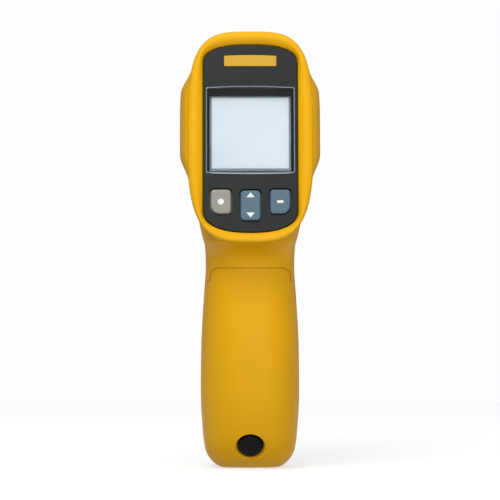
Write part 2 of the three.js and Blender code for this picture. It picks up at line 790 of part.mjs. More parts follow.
// Display stack: a black frame round the cell, the cell, its light guide and a contact strip.
const frameFace = frameOutline(frameOuter);
frameFace.holes.push(frameOutline(gap));
addOnDisplay('lcd_frame', plate(frameFace, -boardDepth + gap, ledgeTop), paint(0x111213, 0.6));
addOnDisplay('lcd_glass', plate(frameOutline(0), -lcdDepth - lcdThickness, -lcdDepth), paint(0xdce8f0, 0.2));
const lightTop = -lcdDepth - lcdThickness - gap;
const lightFace = roundedRectangle(-lcdHalfWidth, lcdHalfWidth, lcdLow + 2.8, lcdHigh, [0.3, 0.3, 0.3, 0.3]);
const lightGuide = plate(lightFace, lightTop - backlightThickness, lightTop);
addOnDisplay('lcd_backlight', lightGuide, paint(0xf2f4f2, 0.4));
const stripFace = roundedRectangle(-12, 12, lcdLow + 0.3, lcdLow + 2.4, [0.2, 0.2, 0.2, 0.2]);
addOnDisplay(
  'lcd_contact_strip',
  plate(stripFace, -boardDepth + gap, lightTop),
  paint(0x2d2d30, 0.7),
);

// Main board with its processor.
const boardFace = roundedRectangle(-boardHalfWidth, boardHalfWidth, boardLow, boardHigh, [4, 4, 2, 2]);
for (const { u, v } of boardScrews) {
  const hole = new THREE.Path();
  hole.absarc(u, v, screwRadius + gap, 0, Math.PI * 2);
  boardFace.holes.push(hole);
}
addOnDisplay('main_board', plate(boardFace, boardBack, -boardDepth), paint(0x1f6b3a, 0.5));
addOnDisplay(
  'processor_chip',
  plate(roundedRectangle(-5, 5, 36, 46, [0.3, 0.3, 0.3, 0.3]), boardBack - gap - 1.2, boardBack - gap),
  paint(0x18191a, 0.5),
);

// A pan-head screw along +Y, with its seat at y = 0 and its head behind the seat.
const screwGeometry = (length) => turned([
  [0, -screwHeadHeight],
  [screwHeadRadius * 0.75, -screwHeadHeight],
  [screwHeadRadius, -screwHeadHeight * 0.55],
  [screwHeadRadius, 0],
  [screwRadius, 0],
  [screwRadius, length - 0.5],
  [0, length],
], 10);
for (const screw of housingScrews) {
  const mesh = add(screw.name, screwGeometry(screw.tip - screw.seat - gap), steel());
  mesh.position.set(screw.x, screw.seat - gap, screw.z);
}
for (const { name, u, v } of boardScrews) {
  const mesh = addOnDisplay(name, screwGeometry(-boardBack + ledgeBack - 0.9), steel());
  mesh.rotation.x = Math.PI / 2;
  mesh.position.set(u, v, boardBack - gap);
}

// ---- Trigger with its pin, spring, switch and small board
const triggerProfile = new THREE.Shape();
triggerProfile.moveTo(pivotY - 6.4, pivotZ - 3);
triggerProfile.lineTo(partingY + 3.6, pivotZ - 10);
triggerProfile.lineTo(partingY + 4.2, pivotZ - 27);
triggerProfile.quadraticCurveTo(pivotY + 1, pivotZ - 29.5, pivotY + 3.6, pivotZ - 26.6);
triggerProfile.quadraticCurveTo(pivotY - 1.2, pivotZ - 16, pivotY + 4.4, pivotZ - 4.5);
triggerProfile.absarc(pivotY, pivotZ, 3.4, -0.35, 2.6);
const triggerSolid = solid(new THREE.ExtrudeGeometry(triggerProfile, {
  depth: triggerWidth - 1.6,
  bevelEnabled: true,
  bevelThickness: 0.8,
  bevelSize: 0.8,
  bevelOffset: -0.8,
  bevelSegments: 2,
  curveSegments: 8,
}).translate(0, 0, -triggerWidth / 2 + 0.8).applyMatrix4(
  new THREE.Matrix4().makeBasis(point(0, 1, 0), point(0, 0, 1), point(1, 0, 0)),
));
addSolid('trigger', cut(triggerSolid, pinHole), darkPlastic());
const pinLength = 2 * lugOuter;
const pin = add('trigger_pin', new THREE.CylinderGeometry(pinRadius, pinRadius, pinLength, 24), steel());
pin.rotation.z = Math.PI / 2;
pin.position.set(0, pivotY, pivotZ);
const switchBoardFront = partingY - 1.3;
addSolid(
  'trigger_board',
  block(-8, 8, switchBoardFront - boardThickness, switchBoardFront, pivotZ - 26, pivotZ - 5),
  paint(0x1f6b3a, 0.5),
);
const triggerRear = partingY + 3.6;
addSolid('trigger_switch', join(
  block(-3, 3, switchBoardFront + gap, triggerRear - 2.8, pivotZ - 14, pivotZ - 8),
  rod(point(0, triggerRear - 3, pivotZ - 11), point(0, triggerRear - 2, pivotZ - 11), 1.6, 14),
), paint(0x2b2b2d, 0.5));

// ---- Coil springs: a round wire swept along a helix.
class Helix extends THREE.Curve {
  constructor(radius, length, turns) {
    super();
    Object.assign(this, { radius, length, turns });
  }

  getPoint(t) {
    const angle = t * this.turns * Math.PI * 2;
    return point(this.radius * Math.cos(angle), t * this.length, this.radius * Math.sin(angle));
  }
}

function coil(radius, length, turns, wire) {
  const section = new THREE.Shape();
  section.absarc(0, 0, wire, 0, Math.PI * 2);
  return new THREE.ExtrudeGeometry(section, {
    steps: Math.round(turns * 9),
    extrudePath: new Helix(radius, length - 2 * wire, turns),
    curveSegments: 3,
    bevelEnabled: false,
  }).translate(0, wire, 0);
}

const triggerSpringZ = pivotZ - 22;
const triggerSpring = add('trigger_spring', coil(2.2, triggerRear - switchBoardFront - gap, 4, 0.3), steel());
triggerSpring.position.set(0, switchBoardFront + gap, triggerSpringZ);

// ---- Battery bay, just in front of the door's hooks
const batteryY = hookFront + batteryClearance + batteryDiameter / 2;
const batteryHigh = batteryLow + batteryLength;
const plateLow = batteryHigh + gap;
const bayHigh = plateLow + contactPlateThickness + gap;
const bayLow = batteryLow - contactSpringLength - gap;
const upright = (x, y, low, high, radius, sides) => rod(point(x, y, low), point(x, y, high), radius, sides);
addSolid('battery_tray', cut(
  upright(0, batteryY, bayLow - 1.2, bayHigh + 1.2, trayRadius + trayWall, 32),
  upright(0, batteryY, bayLow, bayHigh, trayRadius, 32),
  block(-far, far, -far, batteryY - batteryDiameter / 4, -far, far),
), darkPlastic());
const cell = add('battery_cell', turned([
  [0, batteryLow],
  [batteryDiameter / 2 - 0.6, batteryLow],
  [batteryDiameter / 2, batteryLow + 0.6],
  [batteryDiameter / 2, batteryHigh - 2],
  [batteryDiameter / 2 - 0.6, batteryHigh - 1.4],
  [2.75, batteryHigh - 1.4],
  [2.75, batteryHigh],
  [0, batteryHigh],
], 32), paint(0x3c5a78, 0.35, 0.4));
cell.rotation.x = Math.PI / 2;
cell.position.set(0, batteryY, 0);
const contactSpring = add('battery_contact_spring', coil(3.2, contactSpringLength - gap, 3, 0.35), steel());
contactSpring.rotation.x = Math.PI / 2;
contactSpring.position.set(0, batteryY, bayLow + gap);
addSolid('battery_contact_plate', block(
  -contactHalfWidth,
  contactHalfWidth,
  batteryY - contactHalfWidth + 1,
  batteryY + contactHalfWidth - 1,
  plateLow,
  plateLow + contactPlateThickness,
), steel());

// ---- Door latch: button with a stem, a return spring and a retaining washer
function latchPiece(profile, sides) {
  const geometry = turned(profile, sides);
  const turn = new THREE.Quaternion().setFromUnitVectors(point(0, 1, 0), latchOut.clone().negate());
  geometry.applyQuaternion(turn);
  return geometry.translate(latchFace.x, latchFace.y, latchFace.z);
}
const buttonRadius = latchBore - latchPlay;
const buttonBack = latchRecess + latchHeadHeight;
const stemEnd = latchCupDepth + latchFloor + 1.3;
add('door_latch_button', latchPiece([
  [0, latchRecess],
  [buttonRadius - 0.4, latchRecess],
  [buttonRadius, latchRecess + 0.4],
  [buttonRadius, buttonBack],
  [latchStemRadius, buttonBack],
  [latchStemRadius, stemEnd],
  [0, stemEnd],
], 24), paint(0x0d0d0c, 0.25));
const latchSpringStart = buttonBack + gap;
const latchCoil = coil(2.9, latchCupDepth - gap - latchSpringStart, 2, 0.3);
const latchSpring = add('door_latch_spring', latchCoil, steel());
latchSpring.quaternion.setFromUnitVectors(point(0, 1, 0), latchOut.clone().negate());
latchSpring.position.copy(alongLatch(latchSpringStart));
add('door_latch_washer', latchPiece([
  [latchStemRadius + 0.1, stemEnd - 0.9],
  [latchStemRadius + 1, stemEnd - 0.9],
  [latchStemRadius + 1, stemEnd - 0.2],
  [latchStemRadius + 0.1, stemEnd - 0.2],
  [latchStemRadius + 0.1, stemEnd - 0.9],
], 20), steel());

// ---- Optics
function optic(name, profile, material, z = lensHeight, sides = 24) {
  const mesh = add(name, turned(profile, sides), material);
  mesh.position.z = z;
  return mesh;
}
const tubeInner = tubeRadius - tubeWall;
const tubeFront = tubeBack + tubeLength;
optic('lens_tube', [
  [tubeInner, tubeBack],
  [tubeRadius, tubeBack],
  [tubeRadius, tubeFront - 0.1],
  [tubeInner, tubeFront - 0.1],
  [tubeInner, tubeBack],
], paint(0x232425, 0.6));
const lensRadius = tubeInner - gap;
const lensBack = tubeFront - 4;
optic('infrared_lens', [
  [0, lensBack],
  [lensRadius, lensBack],
  [lensRadius, lensBack + 0.8],
  [lensRadius * 0.7, lensBack + 1.4],
  [lensRadius * 0.35, lensBack + 1.7],
  [0, lensBack + 1.8],
], paint(0x8d7f6a, 0.3));
optic('lens_retaining_ring', [
  [lensRadius - 1.3, lensBack + 2.1],
  [lensRadius, lensBack + 2.1],
  [lensRadius, lensBack + 3.3],
  [lensRadius - 1.3, lensBack + 3.3],
  [lensRadius - 1.3, lensBack + 2.1],
], darkPlastic());
optic('sensor_can', [
  [0, tubeBack + 0.2],
  [tubeInner - 3, tubeBack + 0.2],
  [tubeInner - 3, tubeBack + 0.9],
  [tubeInner - 3.7, tubeBack + 0.9],
  [tubeInner - 3.7, tubeBack + 4.2],
  [0, tubeBack + 4.2],
], paint(0xc6b58a, 0.3, 1));
optic('sensor_board', [
  [0, tubeBack - 1.9],
  [tubeRadius, tubeBack - 1.9],
  [tubeRadius, tubeBack - 0.3],
  [0, tubeBack - 0.3],
], paint(0x1f6b3a, 0.5));
const laserFront = noseY - 6.3;
optic('laser_module', [
  [0, laserFront - 14],
  [laserRadius, laserFront - 14],
  [laserRadius, laserFront - 1],
  [laserRadius - 0.6, laserFront],
  [0, laserFront],
], paint(0xb08d3c, 0.35, 1), laserHeight, 20);
optic('laser_window', [
  [0, noseY - 2],
  [laserWindowRadius, noseY - 2],
  [laserWindowRadius, noseY - 0.8],
  [0, noseY - 0.8],
], clear(0xd05040), laserHeight, 20);
const bracketHalfWidth = laserRadius + 2.4;
const bracketTop = laserHeight + laserRadius - 0.6;
addSolid('laser_bracket', cut(
  block(-bracketHalfWidth, bracketHalfWidth, laserFront - 10, laserFront - 5, lensHeight + 6, bracketTop),
  tubeCut,
  rod(point(0, 0, laserHeight), point(0, noseY, laserHeight), laserRadius + gap, 24),
), darkPlastic());

// ---- Leads: round wires through points chosen by hand.
function lead(name, points, color) {
  const section = new THREE.Shape();
  section.absarc(0, 0, 0.6, 0, Math.PI * 2);
  add(name, new THREE.ExtrudeGeometry(section, {
    steps: 9,
    extrudePath: new THREE.CatmullRomCurve3(points),
    curveSegments: 3,
    bevelEnabled: false,
  }), paint(color, 0.5));
}
const trayTop = bayHigh + 1.2;
const batteryLeads = [
  [-1, 'battery_lead_negative', 0x181818],
  [1, 'battery_lead_positive', 0xa02020],
];
for (const [side, name, color] of batteryLeads) {
  lead(name, [
    point(side * 5, batteryY + 3, trayTop + gap),
    point(side * 5.5, batteryY + 1, trayTop + 6),
    displayPoint(side * 6, 8, boardBack - 6),
    displayPoint(side * 6, 13, boardBack - 2 * gap),
  ], color);
}
lead('sensor_lead', [
  point(0, tubeBack - 2.3, lensHeight),
  point(0, tubeBack - 7, lensHeight - 3),
  displayPoint(0, 30, boardBack - 7),
  displayPoint(0, 26, boardBack - 2 * gap),
], 0x303234);

export default thermometer;
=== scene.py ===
"""Looks of a compact pistol-grip infrared thermometer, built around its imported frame.

Shapes are modelled in millimetres in the frame's own axes (+Z up, display towards -Y)
and turned into metres when each piece is finished.
"""

import math
from itertools import product

import bmesh
import bpy
import numpy as np
from mathutils import Matrix, Vector
from mathutils.bvhtree import BVHTree


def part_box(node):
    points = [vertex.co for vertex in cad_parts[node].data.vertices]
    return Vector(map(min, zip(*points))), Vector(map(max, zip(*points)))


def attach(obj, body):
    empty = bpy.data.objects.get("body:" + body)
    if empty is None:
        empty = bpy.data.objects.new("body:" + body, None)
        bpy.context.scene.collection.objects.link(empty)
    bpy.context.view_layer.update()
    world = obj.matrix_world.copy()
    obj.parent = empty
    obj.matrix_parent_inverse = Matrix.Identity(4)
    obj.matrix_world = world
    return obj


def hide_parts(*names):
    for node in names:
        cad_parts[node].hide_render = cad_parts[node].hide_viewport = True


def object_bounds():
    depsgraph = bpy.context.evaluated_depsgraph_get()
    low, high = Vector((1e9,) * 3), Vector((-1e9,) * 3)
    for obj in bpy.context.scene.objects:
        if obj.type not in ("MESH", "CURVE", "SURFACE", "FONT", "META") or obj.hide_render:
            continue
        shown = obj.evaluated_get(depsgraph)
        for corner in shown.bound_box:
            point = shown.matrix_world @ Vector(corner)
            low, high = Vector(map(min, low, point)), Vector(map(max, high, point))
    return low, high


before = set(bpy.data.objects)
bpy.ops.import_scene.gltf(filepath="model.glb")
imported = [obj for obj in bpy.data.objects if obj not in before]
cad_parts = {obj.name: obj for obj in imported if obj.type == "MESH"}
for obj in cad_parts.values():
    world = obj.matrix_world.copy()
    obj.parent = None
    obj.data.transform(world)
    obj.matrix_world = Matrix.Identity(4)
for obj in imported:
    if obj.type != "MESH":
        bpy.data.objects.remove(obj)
cad_low, cad_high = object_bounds()
SCENE = bpy.context.scene
MM = 0.001
FAR = 200.0  # beyond every part of the object, in millimetres

# ---- Sizes, in millimetres
BODY_DEPTH = (cad_high.y - cad_low.y) / MM
BODY_HEIGHT = cad_high.z / MM
BODY_WIDTH = (cad_high.x - cad_low.x) / MM
LIP_HEIGHT = 80.9
TILT = math.radians(16)
WALL = 2.4
GAP = 0.3
SEAM = 0.16  # between the door and the housing, as seen
EAR_FLARE = 2.7
RIM_WIDTH = 5.65
RIM_INSET = 2.0
RIM_DROP = 1.6
PARTING_Y = -2.0
NOSE_LENGTH = 7.0
HANDLE_WIDTH = 35.2
GRIP_THICKNESS = 1.1
GRIP_LOW, GRIP_HIGH = 10.0, 67.0
PANEL_DEPTH = 1.5
PANEL_THICKNESS = 1.8
DOOR_HALF_WIDTH = 14.4
DOOR_TOP = 71.9
DOOR_CORNER = 3.4
DOOR_SHOULDER = 1.5
DOOR_EDGE_Y = -19.6
HOOK_SIDE, HOOK_WIDTH, HOOK_THICKNESS = 1.5, 4.5, 1.6
HOOK_FOOT, HOOK_REACH = 5.0, 2.6
LATCH_RADIUS = 4.65
LATCH_RECESS = 0.6
LATCH_PLAY = 0.2
LATCH_HEIGHT = 8.0
LATCH_TILT = math.radians(30)
LATCH_CUP_DEPTH = 6.2
LATCH_FLOOR = 0.9
LATCH_WALL = 1.5
LATCH_STEM_RADIUS = 1.8
LATCH_HEAD = 1.4
SCREW_RADIUS, SCREW_HEAD_RADIUS = 1.0, 2.4
LOW_SCREW_X, LOW_SCREW_Z = 8.0, 6.2
LUG_HALF_WIDTH, LUG_DEPTH = 10.9, 4.0  # the block that the low screws pass through
LUG_LOW, LUG_HIGH = 0.6, 9.1
LENS_OPENING = 8.4
PIN_BORE = 1.35

RIM_HALF_WIDTH = BODY_WIDTH / 2 - EAR_FLARE
PANEL_HALF_WIDTH = RIM_HALF_WIDTH - RIM_WIDTH
NOSE_Y = BODY_DEPTH / 2
TAN_TILT = math.tan(TILT)
CREST_Y = -BODY_DEPTH / 2 - RIM_INSET * TAN_TILT
RIM_MIDDLE = LIP_HEIGHT + 37.1
PANEL_LOW = 4.5
PANEL_HIGH = (BODY_HEIGHT - LIP_HEIGHT) / math.cos(TILT) - 4.6
# Places on the display plane: X, and the distance up the plane from the rim's low crest
WINDOW_HALF_WIDTH = 15.7
WINDOW_LOW, WINDOW_HIGH = 26.2, 57.6
LCD_MIDDLE = (WINDOW_LOW + WINDOW_HIGH) / 2 - 0.2
LCD_HALF_WIDTH, LCD_HALF_LENGTH = 14.5, 14.4
FACE_HALF_WIDTH, FACE_HALF_LENGTH = 13.7, 13.1
LCD_LEVEL = -5.2
FRAME_OUTER = GAP + 0.5 + 0.35
GASKET_HALF_WIDTH, GASKET_OPENING = 16.2, 14.6
DIMPLE_RADIUS, DIMPLE_DEPTH = 0.35, 0.4
DIMPLE_V = WINDOW_HIGH + 1.7
LABEL_HALF_WIDTH = 9.3
LABEL_TOP_MARGIN, LABEL_LENGTH = 4.15, 3.85
KEY_WIDTH = 7.0
KEY_PITCH = PANEL_HALF_WIDTH - 6.15
ROCKER_LOW, ROCKER_HIGH = 8.7, 19.6
KEY_LOW, KEY_HIGH = 11.1, 19.9
KEY_PROUD = 0.6  # above the panel
KEY_WELL = 0.62  # from a key's side to the side of its well
KEY_FLANGE = 0.6
MAT_HALF_WIDTH = 15.25
MARK_SIZE = 1.5
LIP_THICKNESS = 1.4  # inner part of the wall that closes the gap at the parting line
DISPLAY = Matrix.Translation((0, CREST_Y, LIP_HEIGHT)) @ Matrix.Rotation(math.pi / 2 - TILT, 4, "X")


# ---- Mesh helpers
def new_object(name, mesh):
    obj = bpy.data.objects.new(name, mesh)
    SCENE.collection.objects.link(obj)
    return obj


def evaluated_mesh(obj):
    """The object's mesh with its modifiers applied."""
    graph = bpy.context.evaluated_depsgraph_get()
    return bpy.data.meshes.new_from_object(obj.evaluated_get(graph), depsgraph=graph)


def drop(*objects):
    for obj in objects:
        bpy.data.objects.remove(obj, do_unlink=True)


def apply_modifiers(obj):
    mesh = evaluated_mesh(obj)
    obj.modifiers.clear()
    obj.data = mesh
    return obj


def duplicate(obj, name):
    return new_object(name, obj.data.copy())


def combine(base, tool, operation, keep=False):
    """Joins, cuts or intersects two closed objects, and removes the tool unless it is kept."""
    change = base.modifiers.new(operation, "BOOLEAN")
    change.object = tool
    change.operation = operation
    change.solver = "MANIFOLD"
    apply_modifiers(base)
    if not keep:
        drop(tool)
    return base


def cut(base, *tools):
    for tool in tools:
        combine(base, tool, "DIFFERENCE")
    return base


def join(base, *tools):
    for tool in tools:
        combine(base, tool, "UNION")
    return base


def meet(base, tool):
    return combine(base, tool, "INTERSECT")


def outward(mesh):
    """Turns every face outwards."""
    work = bmesh.new()
    work.from_mesh(mesh)
    bmesh.ops.recalc_face_normals(work, faces=work.faces)
    work.to_mesh(mesh)
    work.free()
    return mesh


def mesh_object(name, points, faces):
    mesh = bpy.data.meshes.new(name)
    mesh.from_pydata([tuple(p) for p in points], [], faces)
    return new_object(name, outward(mesh))


def block(low, high, name="block"):
    corners = list(product(*zip(low, high)))
    faces = [(0, 1, 3, 2), (4, 6, 7, 5), (0, 4, 5, 1), (2, 3, 7, 6), (0, 2, 6, 4), (1, 5, 7, 3)]
    return mesh_object(name, corners, faces)


def loft(name, rings):
    """A closed skin over rings of equal point count, with a flat face at each end."""
    count = len(rings[0])
    points = np.concatenate(rings)
    faces = [tuple(range(count)), tuple(range((len(rings) - 1) * count, len(rings) * count))]
    for k in range(len(rings) - 1):
        for i in range(count):
            j = (i + 1) % count
            faces.append((k * count + i, k * count + j, (k + 1) * count + j, (k + 1) * count + i))
    return mesh_object(name, points, faces)


def lathe(name, profile, matrix, sides=96):
    """A turned piece: (radius, distance) pairs round the local Y axis, ends on the axis or closed."""
    closed = profile[0] == profile[-1]
    rows = profile[:-1] if closed else profile
    points, index = [], []
    for radius, along in rows:
        if radius < 1e-6:
            index.append([len(points)] * sides)
            points.append(Vector((0, along, 0)))
            continue
        index.append(list(range(len(points), len(points) + sides)))
        for i in range(sides):
            angle = 2 * math.pi * i / sides
            points.append(Vector((radius * math.cos(angle), along, radius * math.sin(angle))))
    faces = []
    last = len(rows) if closed else len(rows) - 1
    for k in range(last):
        low, high = index[k], index[(k + 1) % len(rows)]
        for i in range(sides):
            j = (i + 1) % sides
            face = list(dict.fromkeys((low[i], low[j], high[j], high[i])))
            if len(face) > 2:
                faces.append(tuple(face))
    return mesh_object(name, [matrix @ p for p in points], faces)


def rod(start, end, radius, name="rod", sides=64):
    start, end = Vector(start), Vector(end)
    along = end - start
    turn = Vector((0, 1, 0)).rotation_difference(along).to_matrix().to_4x4()
    profile = [(0, 0), (radius, 0), (radius, along.length), (0, along.length)]
    return lathe(name, profile, Matrix.Translation(start) @ turn, sides)


def plate(name, outlines, low, high, matrix, bevel=0.0, steps=3):
    """A flat piece from closed outlines (the first is the outside, the rest are holes)."""
    curve = bpy.data.curves.new(name, "CURVE")
    curve.dimensions = "2D"
    curve.fill_mode = "BOTH"
    curve.extrude = (high - low) / 2 - bevel
    curve.bevel_depth = bevel
    curve.bevel_resolution = steps
    curve.offset = -bevel
    for outline in outlines:
        spline = curve.splines.new("POLY")
        spline.points.add(len(outline) - 1)
        for point, (x, y) in zip(spline.points, outline):
            point.co = (x, y, 0, 1)
        spline.use_cyclic_u = True
    holder = new_object(name, curve)
    mesh = evaluated_mesh(holder)
    drop(holder)
    work = bmesh.new()
    work.from_mesh(mesh)
    bmesh.ops.remove_doubles(work, verts=work.verts, dist=1e-4)
    bmesh.ops.recalc_face_normals(work, faces=work.faces)
    work.to_mesh(mesh)
    work.free()
    mesh.transform(matrix @ Matrix.Translation((0, 0, (low + high) / 2)))
    return new_object(name, mesh)


# ---- Outlines
def smooth_step(start, end, value):
    share = np.clip((value - start) / (end - start), 0, 1)
    return share * share * (3 - 2 * share)


def capsule(half_width, low, low_cap, low_power, high, high_cap, high_power, count):
    """Two superellipse caps joined by straight sides, evenly spaced from the low middle towards +X."""
    angle = np.linspace(0, math.pi / 2, 400)
    sine, cosine = np.sin(angle), np.cos(angle)
    low_share, high_share = 2 / low_power, 2 / high_power
    lower = np.stack([half_width * sine ** low_share, low - low_cap * cosine ** low_share], 1)
    upper = np.stack([half_width * cosine ** high_share, high + high_cap * sine ** high_share], 1)
    half = np.concatenate([lower, upper])
    length = np.concatenate([[0], np.cumsum(np.hypot(*np.diff(half, axis=0).T))])
    place = np.linspace(0, length[-1], count // 2 + 1)
    right = np.stack([np.interp(place, length, half[:, 0]), np.interp(place, length, half[:, 1])], 1)
    right[0, 0] = right[-1, 0] = 0
    left = right[-2:0:-1] * (-1, 1)
    return np.concatenate([right, left])


def rounded_rectangle(left, right, low, high, radii, steps=10):
    """Radii in the order low left, low right, high right, high left."""
    centres = [
        (left + radii[0], low + radii[0], 180),
        (right - radii[1], low + radii[1], 270),
        (right - radii[2], high - radii[2], 0),
        (left + radii[3], high - radii[3], 90),
    ]
    points = []
    for (x, y, start), radius in zip(centres, radii):
        for i in range(steps + 1):
            angle = math.radians(start + 90 * i / steps)
            points.append((x + radius * math.cos(angle), y + radius * math.sin(angle)))
    return points


def bowed_rectangle(half_width, low, high, low_bow, high_bow, radius=0.5, steps=24):
    """A window outline whose lower and upper edges bow outwards."""
    base = rounded_rectangle(-half_width, half_width, low, high, [radius] * 4, 4)
    points = []
    for (x, y), (next_x, _) in zip(base, base[1:] + base[:1]):
        points.append((x, y))
        if abs(next_x - x) > half_width:
            for i in range(1, steps):
                share = i / steps
                points.append((x + (next_x - x) * share, y))
    middle = (low + high) / 2
    bowed = []
    for x, y in points:
        bow = 1 - (x / half_width) ** 2
        bowed.append((x, y + bow * high_bow if y > middle else y - bow * low_bow))
    return bowed


def lcd_outline(half_width, half_length, radius=0.3):
    """A rectangle about the middle of the display."""
    return rounded_rectangle(
        -half_width, half_width, LCD_MIDDLE - half_length, LCD_MIDDLE + half_length, [radius] * 4)


def spline_rows(rows, per_span):
    """Catmull-Rom through rows of numbers, with the ends kept."""
    rows = np.asarray(rows, float)
    padded = np.concatenate([[2 * rows[0] - rows[1]], rows, [2 * rows[-1] - rows[-2]]])
    out = []
    for k in range(1, len(rows)):
        p0, p1, p2, p3 = padded[k - 1:k + 3]
        for i in range(per_span):
            t = i / per_span
            out.append(0.5 * (2 * p1 + (p2 - p0) * t + (2 * p0 - 5 * p1 + 4 * p2 - p3) * t ** 2
                              + (3 * p1 - p0 - 3 * p2 + p3) * t ** 3))
    out.append(rows[-1])
    return np.array(out)


# ---- Head
CREST_MIDDLE_Y = CREST_Y + (RIM_MIDDLE - LIP_HEIGHT) * TAN_TILT
EDGE_MIDDLE_Y = CREST_MIDDLE_Y + RIM_DROP / math.cos(TILT)
# y where the ring crosses the widest height, tilt, half width, drop of the top, rise of the low end,
# share of the ears' flare
HEAD_STATIONS = [
    (EDGE_MIDDLE_Y, 1, RIM_HALF_WIDTH, 0, 0, 0),
    (EDGE_MIDDLE_Y + 1.5, 1, RIM_HALF_WIDTH, 0.2, 0.4, 0.4),
    (EDGE_MIDDLE_Y + 5, 0.95, RIM_HALF_WIDTH, 0.6, 1.6, 0.8),
    (EDGE_MIDDLE_Y + 11, 0.8, RIM_HALF_WIDTH, 1.2, 3.5, 1),
    (EDGE_MIDDLE_Y + 21, 0.5, RIM_HALF_WIDTH, 2, 7.5, 1),
    (NOSE_Y - 26, 0.2, RIM_HALF_WIDTH - 0.3, 3.8, 12, 0.6),
    (NOSE_Y - 14, 0, RIM_HALF_WIDTH - 1, 6.2, 16, 0.2),
    (NOSE_Y - 4, 0, RIM_HALF_WIDTH - 2.2, 9, 19.5, 0),
    (NOSE_Y - 1.2, 0, RIM_HALF_WIDTH - 3.1, 10, 20.5, 0),
    (NOSE_Y, 0, RIM_HALF_WIDTH - 4.6, 11.5, 22, 0),
]


def head_ring(row, inside, count):
    y, tilt, half, top, low, ear = row
    ring = capsule(
        half - inside,
        RIM_MIDDLE,
        RIM_MIDDLE - LIP_HEIGHT - low - inside,
        3.2,
        RIM_MIDDLE,
        BODY_HEIGHT - top - RIM_MIDDLE - inside,
        3.6,
        count,
    )
    x, z = ring.T
    flare = smooth_step(BODY_HEIGHT - 13, BODY_HEIGHT - 22, z)
    flare = flare * smooth_step(LIP_HEIGHT + 21, LIP_HEIGHT + 31, z)
    out = np.sign(x) * EAR_FLARE * ear * flare
    return np.stack([x + out, y + (z - RIM_MIDDLE) * TAN_TILT * tilt, z], 1)


def on_display(points, level):
    """Points of the display plane at a level above the rim's crest, in the frame's axes."""
    return np.array([DISPLAY @ Vector((x, y, level)) for x, y in points])


def panel_outline(out, count=200):
    return capsule(
        PANEL_HALF_WIDTH + out,
        PANEL_LOW + 7.7,
        7.7 + out,
        2.3,
        PANEL_HIGH - 7.15,
        7.15 + out,
        2.6,
        count,
    )


# ---- Handle
LIP_Y = -BODY_DEPTH / 2
HALF = HANDLE_WIDTH / 2
HANDLE_WIDEST = -11.5
HANDLE_REAR_POWER = 2.7
# height, half width, rear, front
HANDLE_STATIONS = [
    (0, HALF - 8, -15.2, 2.2),
    (0.25, HALF - 6.9, -17.6, 3.0),
    (1.2, HALF - 5.2, -20.4, 3.9),
    (3, HALF - 3.4, -23.4, 4.9),
    (5.5, HALF - 1.9, -25.8, 5.6),
    (9, HALF - 1.1, -27.8, 6),
    (14, HALF - 0.6, -29.6, 6.2),
    (24, HALF, -31.7, 6.2),
    (36, HALF, -32.6, 6),
    (48, HALF - 0.3, -32.2, 5.6),
    (60, HALF - 1, -30.6, 5.1),
    (70, HALF - 1.7, -28.8, 4.6),
    (LIP_HEIGHT - 6.4, HALF - 1.7, LIP_Y + 10.8, 4.4),
    (LIP_HEIGHT - 3.6, HALF - 1.6, LIP_Y + 8.4, 4.4),
    (LIP_HEIGHT - 1.4, HALF - 1.4, LIP_Y + 5, 4.5),
    (LIP_HEIGHT + 0.2, HALF - 1, LIP_Y + 2.4, 4.6),
    (LIP_HEIGHT + 4, HALF, LIP_Y + 4, 5),
    (LIP_HEIGHT + 14, HALF + 2, LIP_Y + 8, 6),
]


def handle_ring(row, inside, count):
    z, half, rear, front = row
    outline = capsule(
        half - inside,
        HANDLE_WIDEST,
        HANDLE_WIDEST - rear - inside,
        HANDLE_REAR_POWER,
        HANDLE_WIDEST,
        front - HANDLE_WIDEST - inside,
        2.7,
        count,
    )
    return np.column_stack([outline, np.full(len(outline), z)])


def handle_rear(z):
    rows = spline_rows(HANDLE_STATIONS, 8)
    return float(np.interp(z, rows[:, 0], rows[:, 2]))


def inner_rear(z, x):
    """Inner face of the handle's rear wall, at a height and a distance from the middle."""
    rows = spline_rows(HANDLE_STATIONS, 8)
    half = float(np.interp(z, rows[:, 0], rows[:, 1]))
    depth = HANDLE_WIDEST - handle_rear(z) - WALL
    share = (1 - (x / (half - WALL)) ** HANDLE_REAR_POWER) ** (1 / HANDLE_REAR_POWER)
    return HANDLE_WIDEST - depth * share


def handle_loft(name, inside, per_span=6, count=128):
    rows = spline_rows(HANDLE_STATIONS, per_span)
    if inside:
        rows = rows[rows[:, 0] > inside + 0.4]
    return loft(name, [handle_ring(row, inside, count) for row in rows])


# ---- Body skin: head and handle joined, with a soft blend where they meet
RIM_POINTS = 240
SIDE_CREST, LOW_CREST = 0.62, 0.76  # crest of the rim, as a share of its width from the panel outwards
RIM_RECESS = 1.75  # depth of the rim's inner edge below its crest


def rim_rings():
    """The rim from the panel's recess over its crest; under the keys the crest lies further out."""
    inner = np.array(panel_outline(GAP, RIM_POINTS))
    outer = head_ring((0, 0, RIM_HALF_WIDTH, 0, 0, 0), 0, RIM_POINTS)[:, (0, 2)]
    outer[:, 1] = (outer[:, 1] - LIP_HEIGHT) / math.cos(TILT)
    crest = SIDE_CREST + (LOW_CREST - SIDE_CREST) * smooth_step(17, 3, outer[:, 1])
    rings = [on_display(inner, -3.6)]
    for t in (0, 0.08, 0.2, 0.35, 0.5, 0.65, 0.8, 0.92):
        share = (crest * t)[:, None]
        level = -RIM_RECESS * (1 - math.sin(t * math.pi / 2)) ** 1.15
        rings.append(on_display(inner + (outer - inner) * share, level))
    for t in (0, 0.2, 0.4, 0.6, 0.75, 0.86, 0.93, 0.98):
        share = (crest + (1 - crest) * t)[:, None]
        level = -RIM_DROP * (0.6 * t ** 1.4 + 0.4 * t ** 9)
        rings.append(on_display(inner + (outer - inner) * share - (0, level * TAN_TILT * t), level))
    return rings


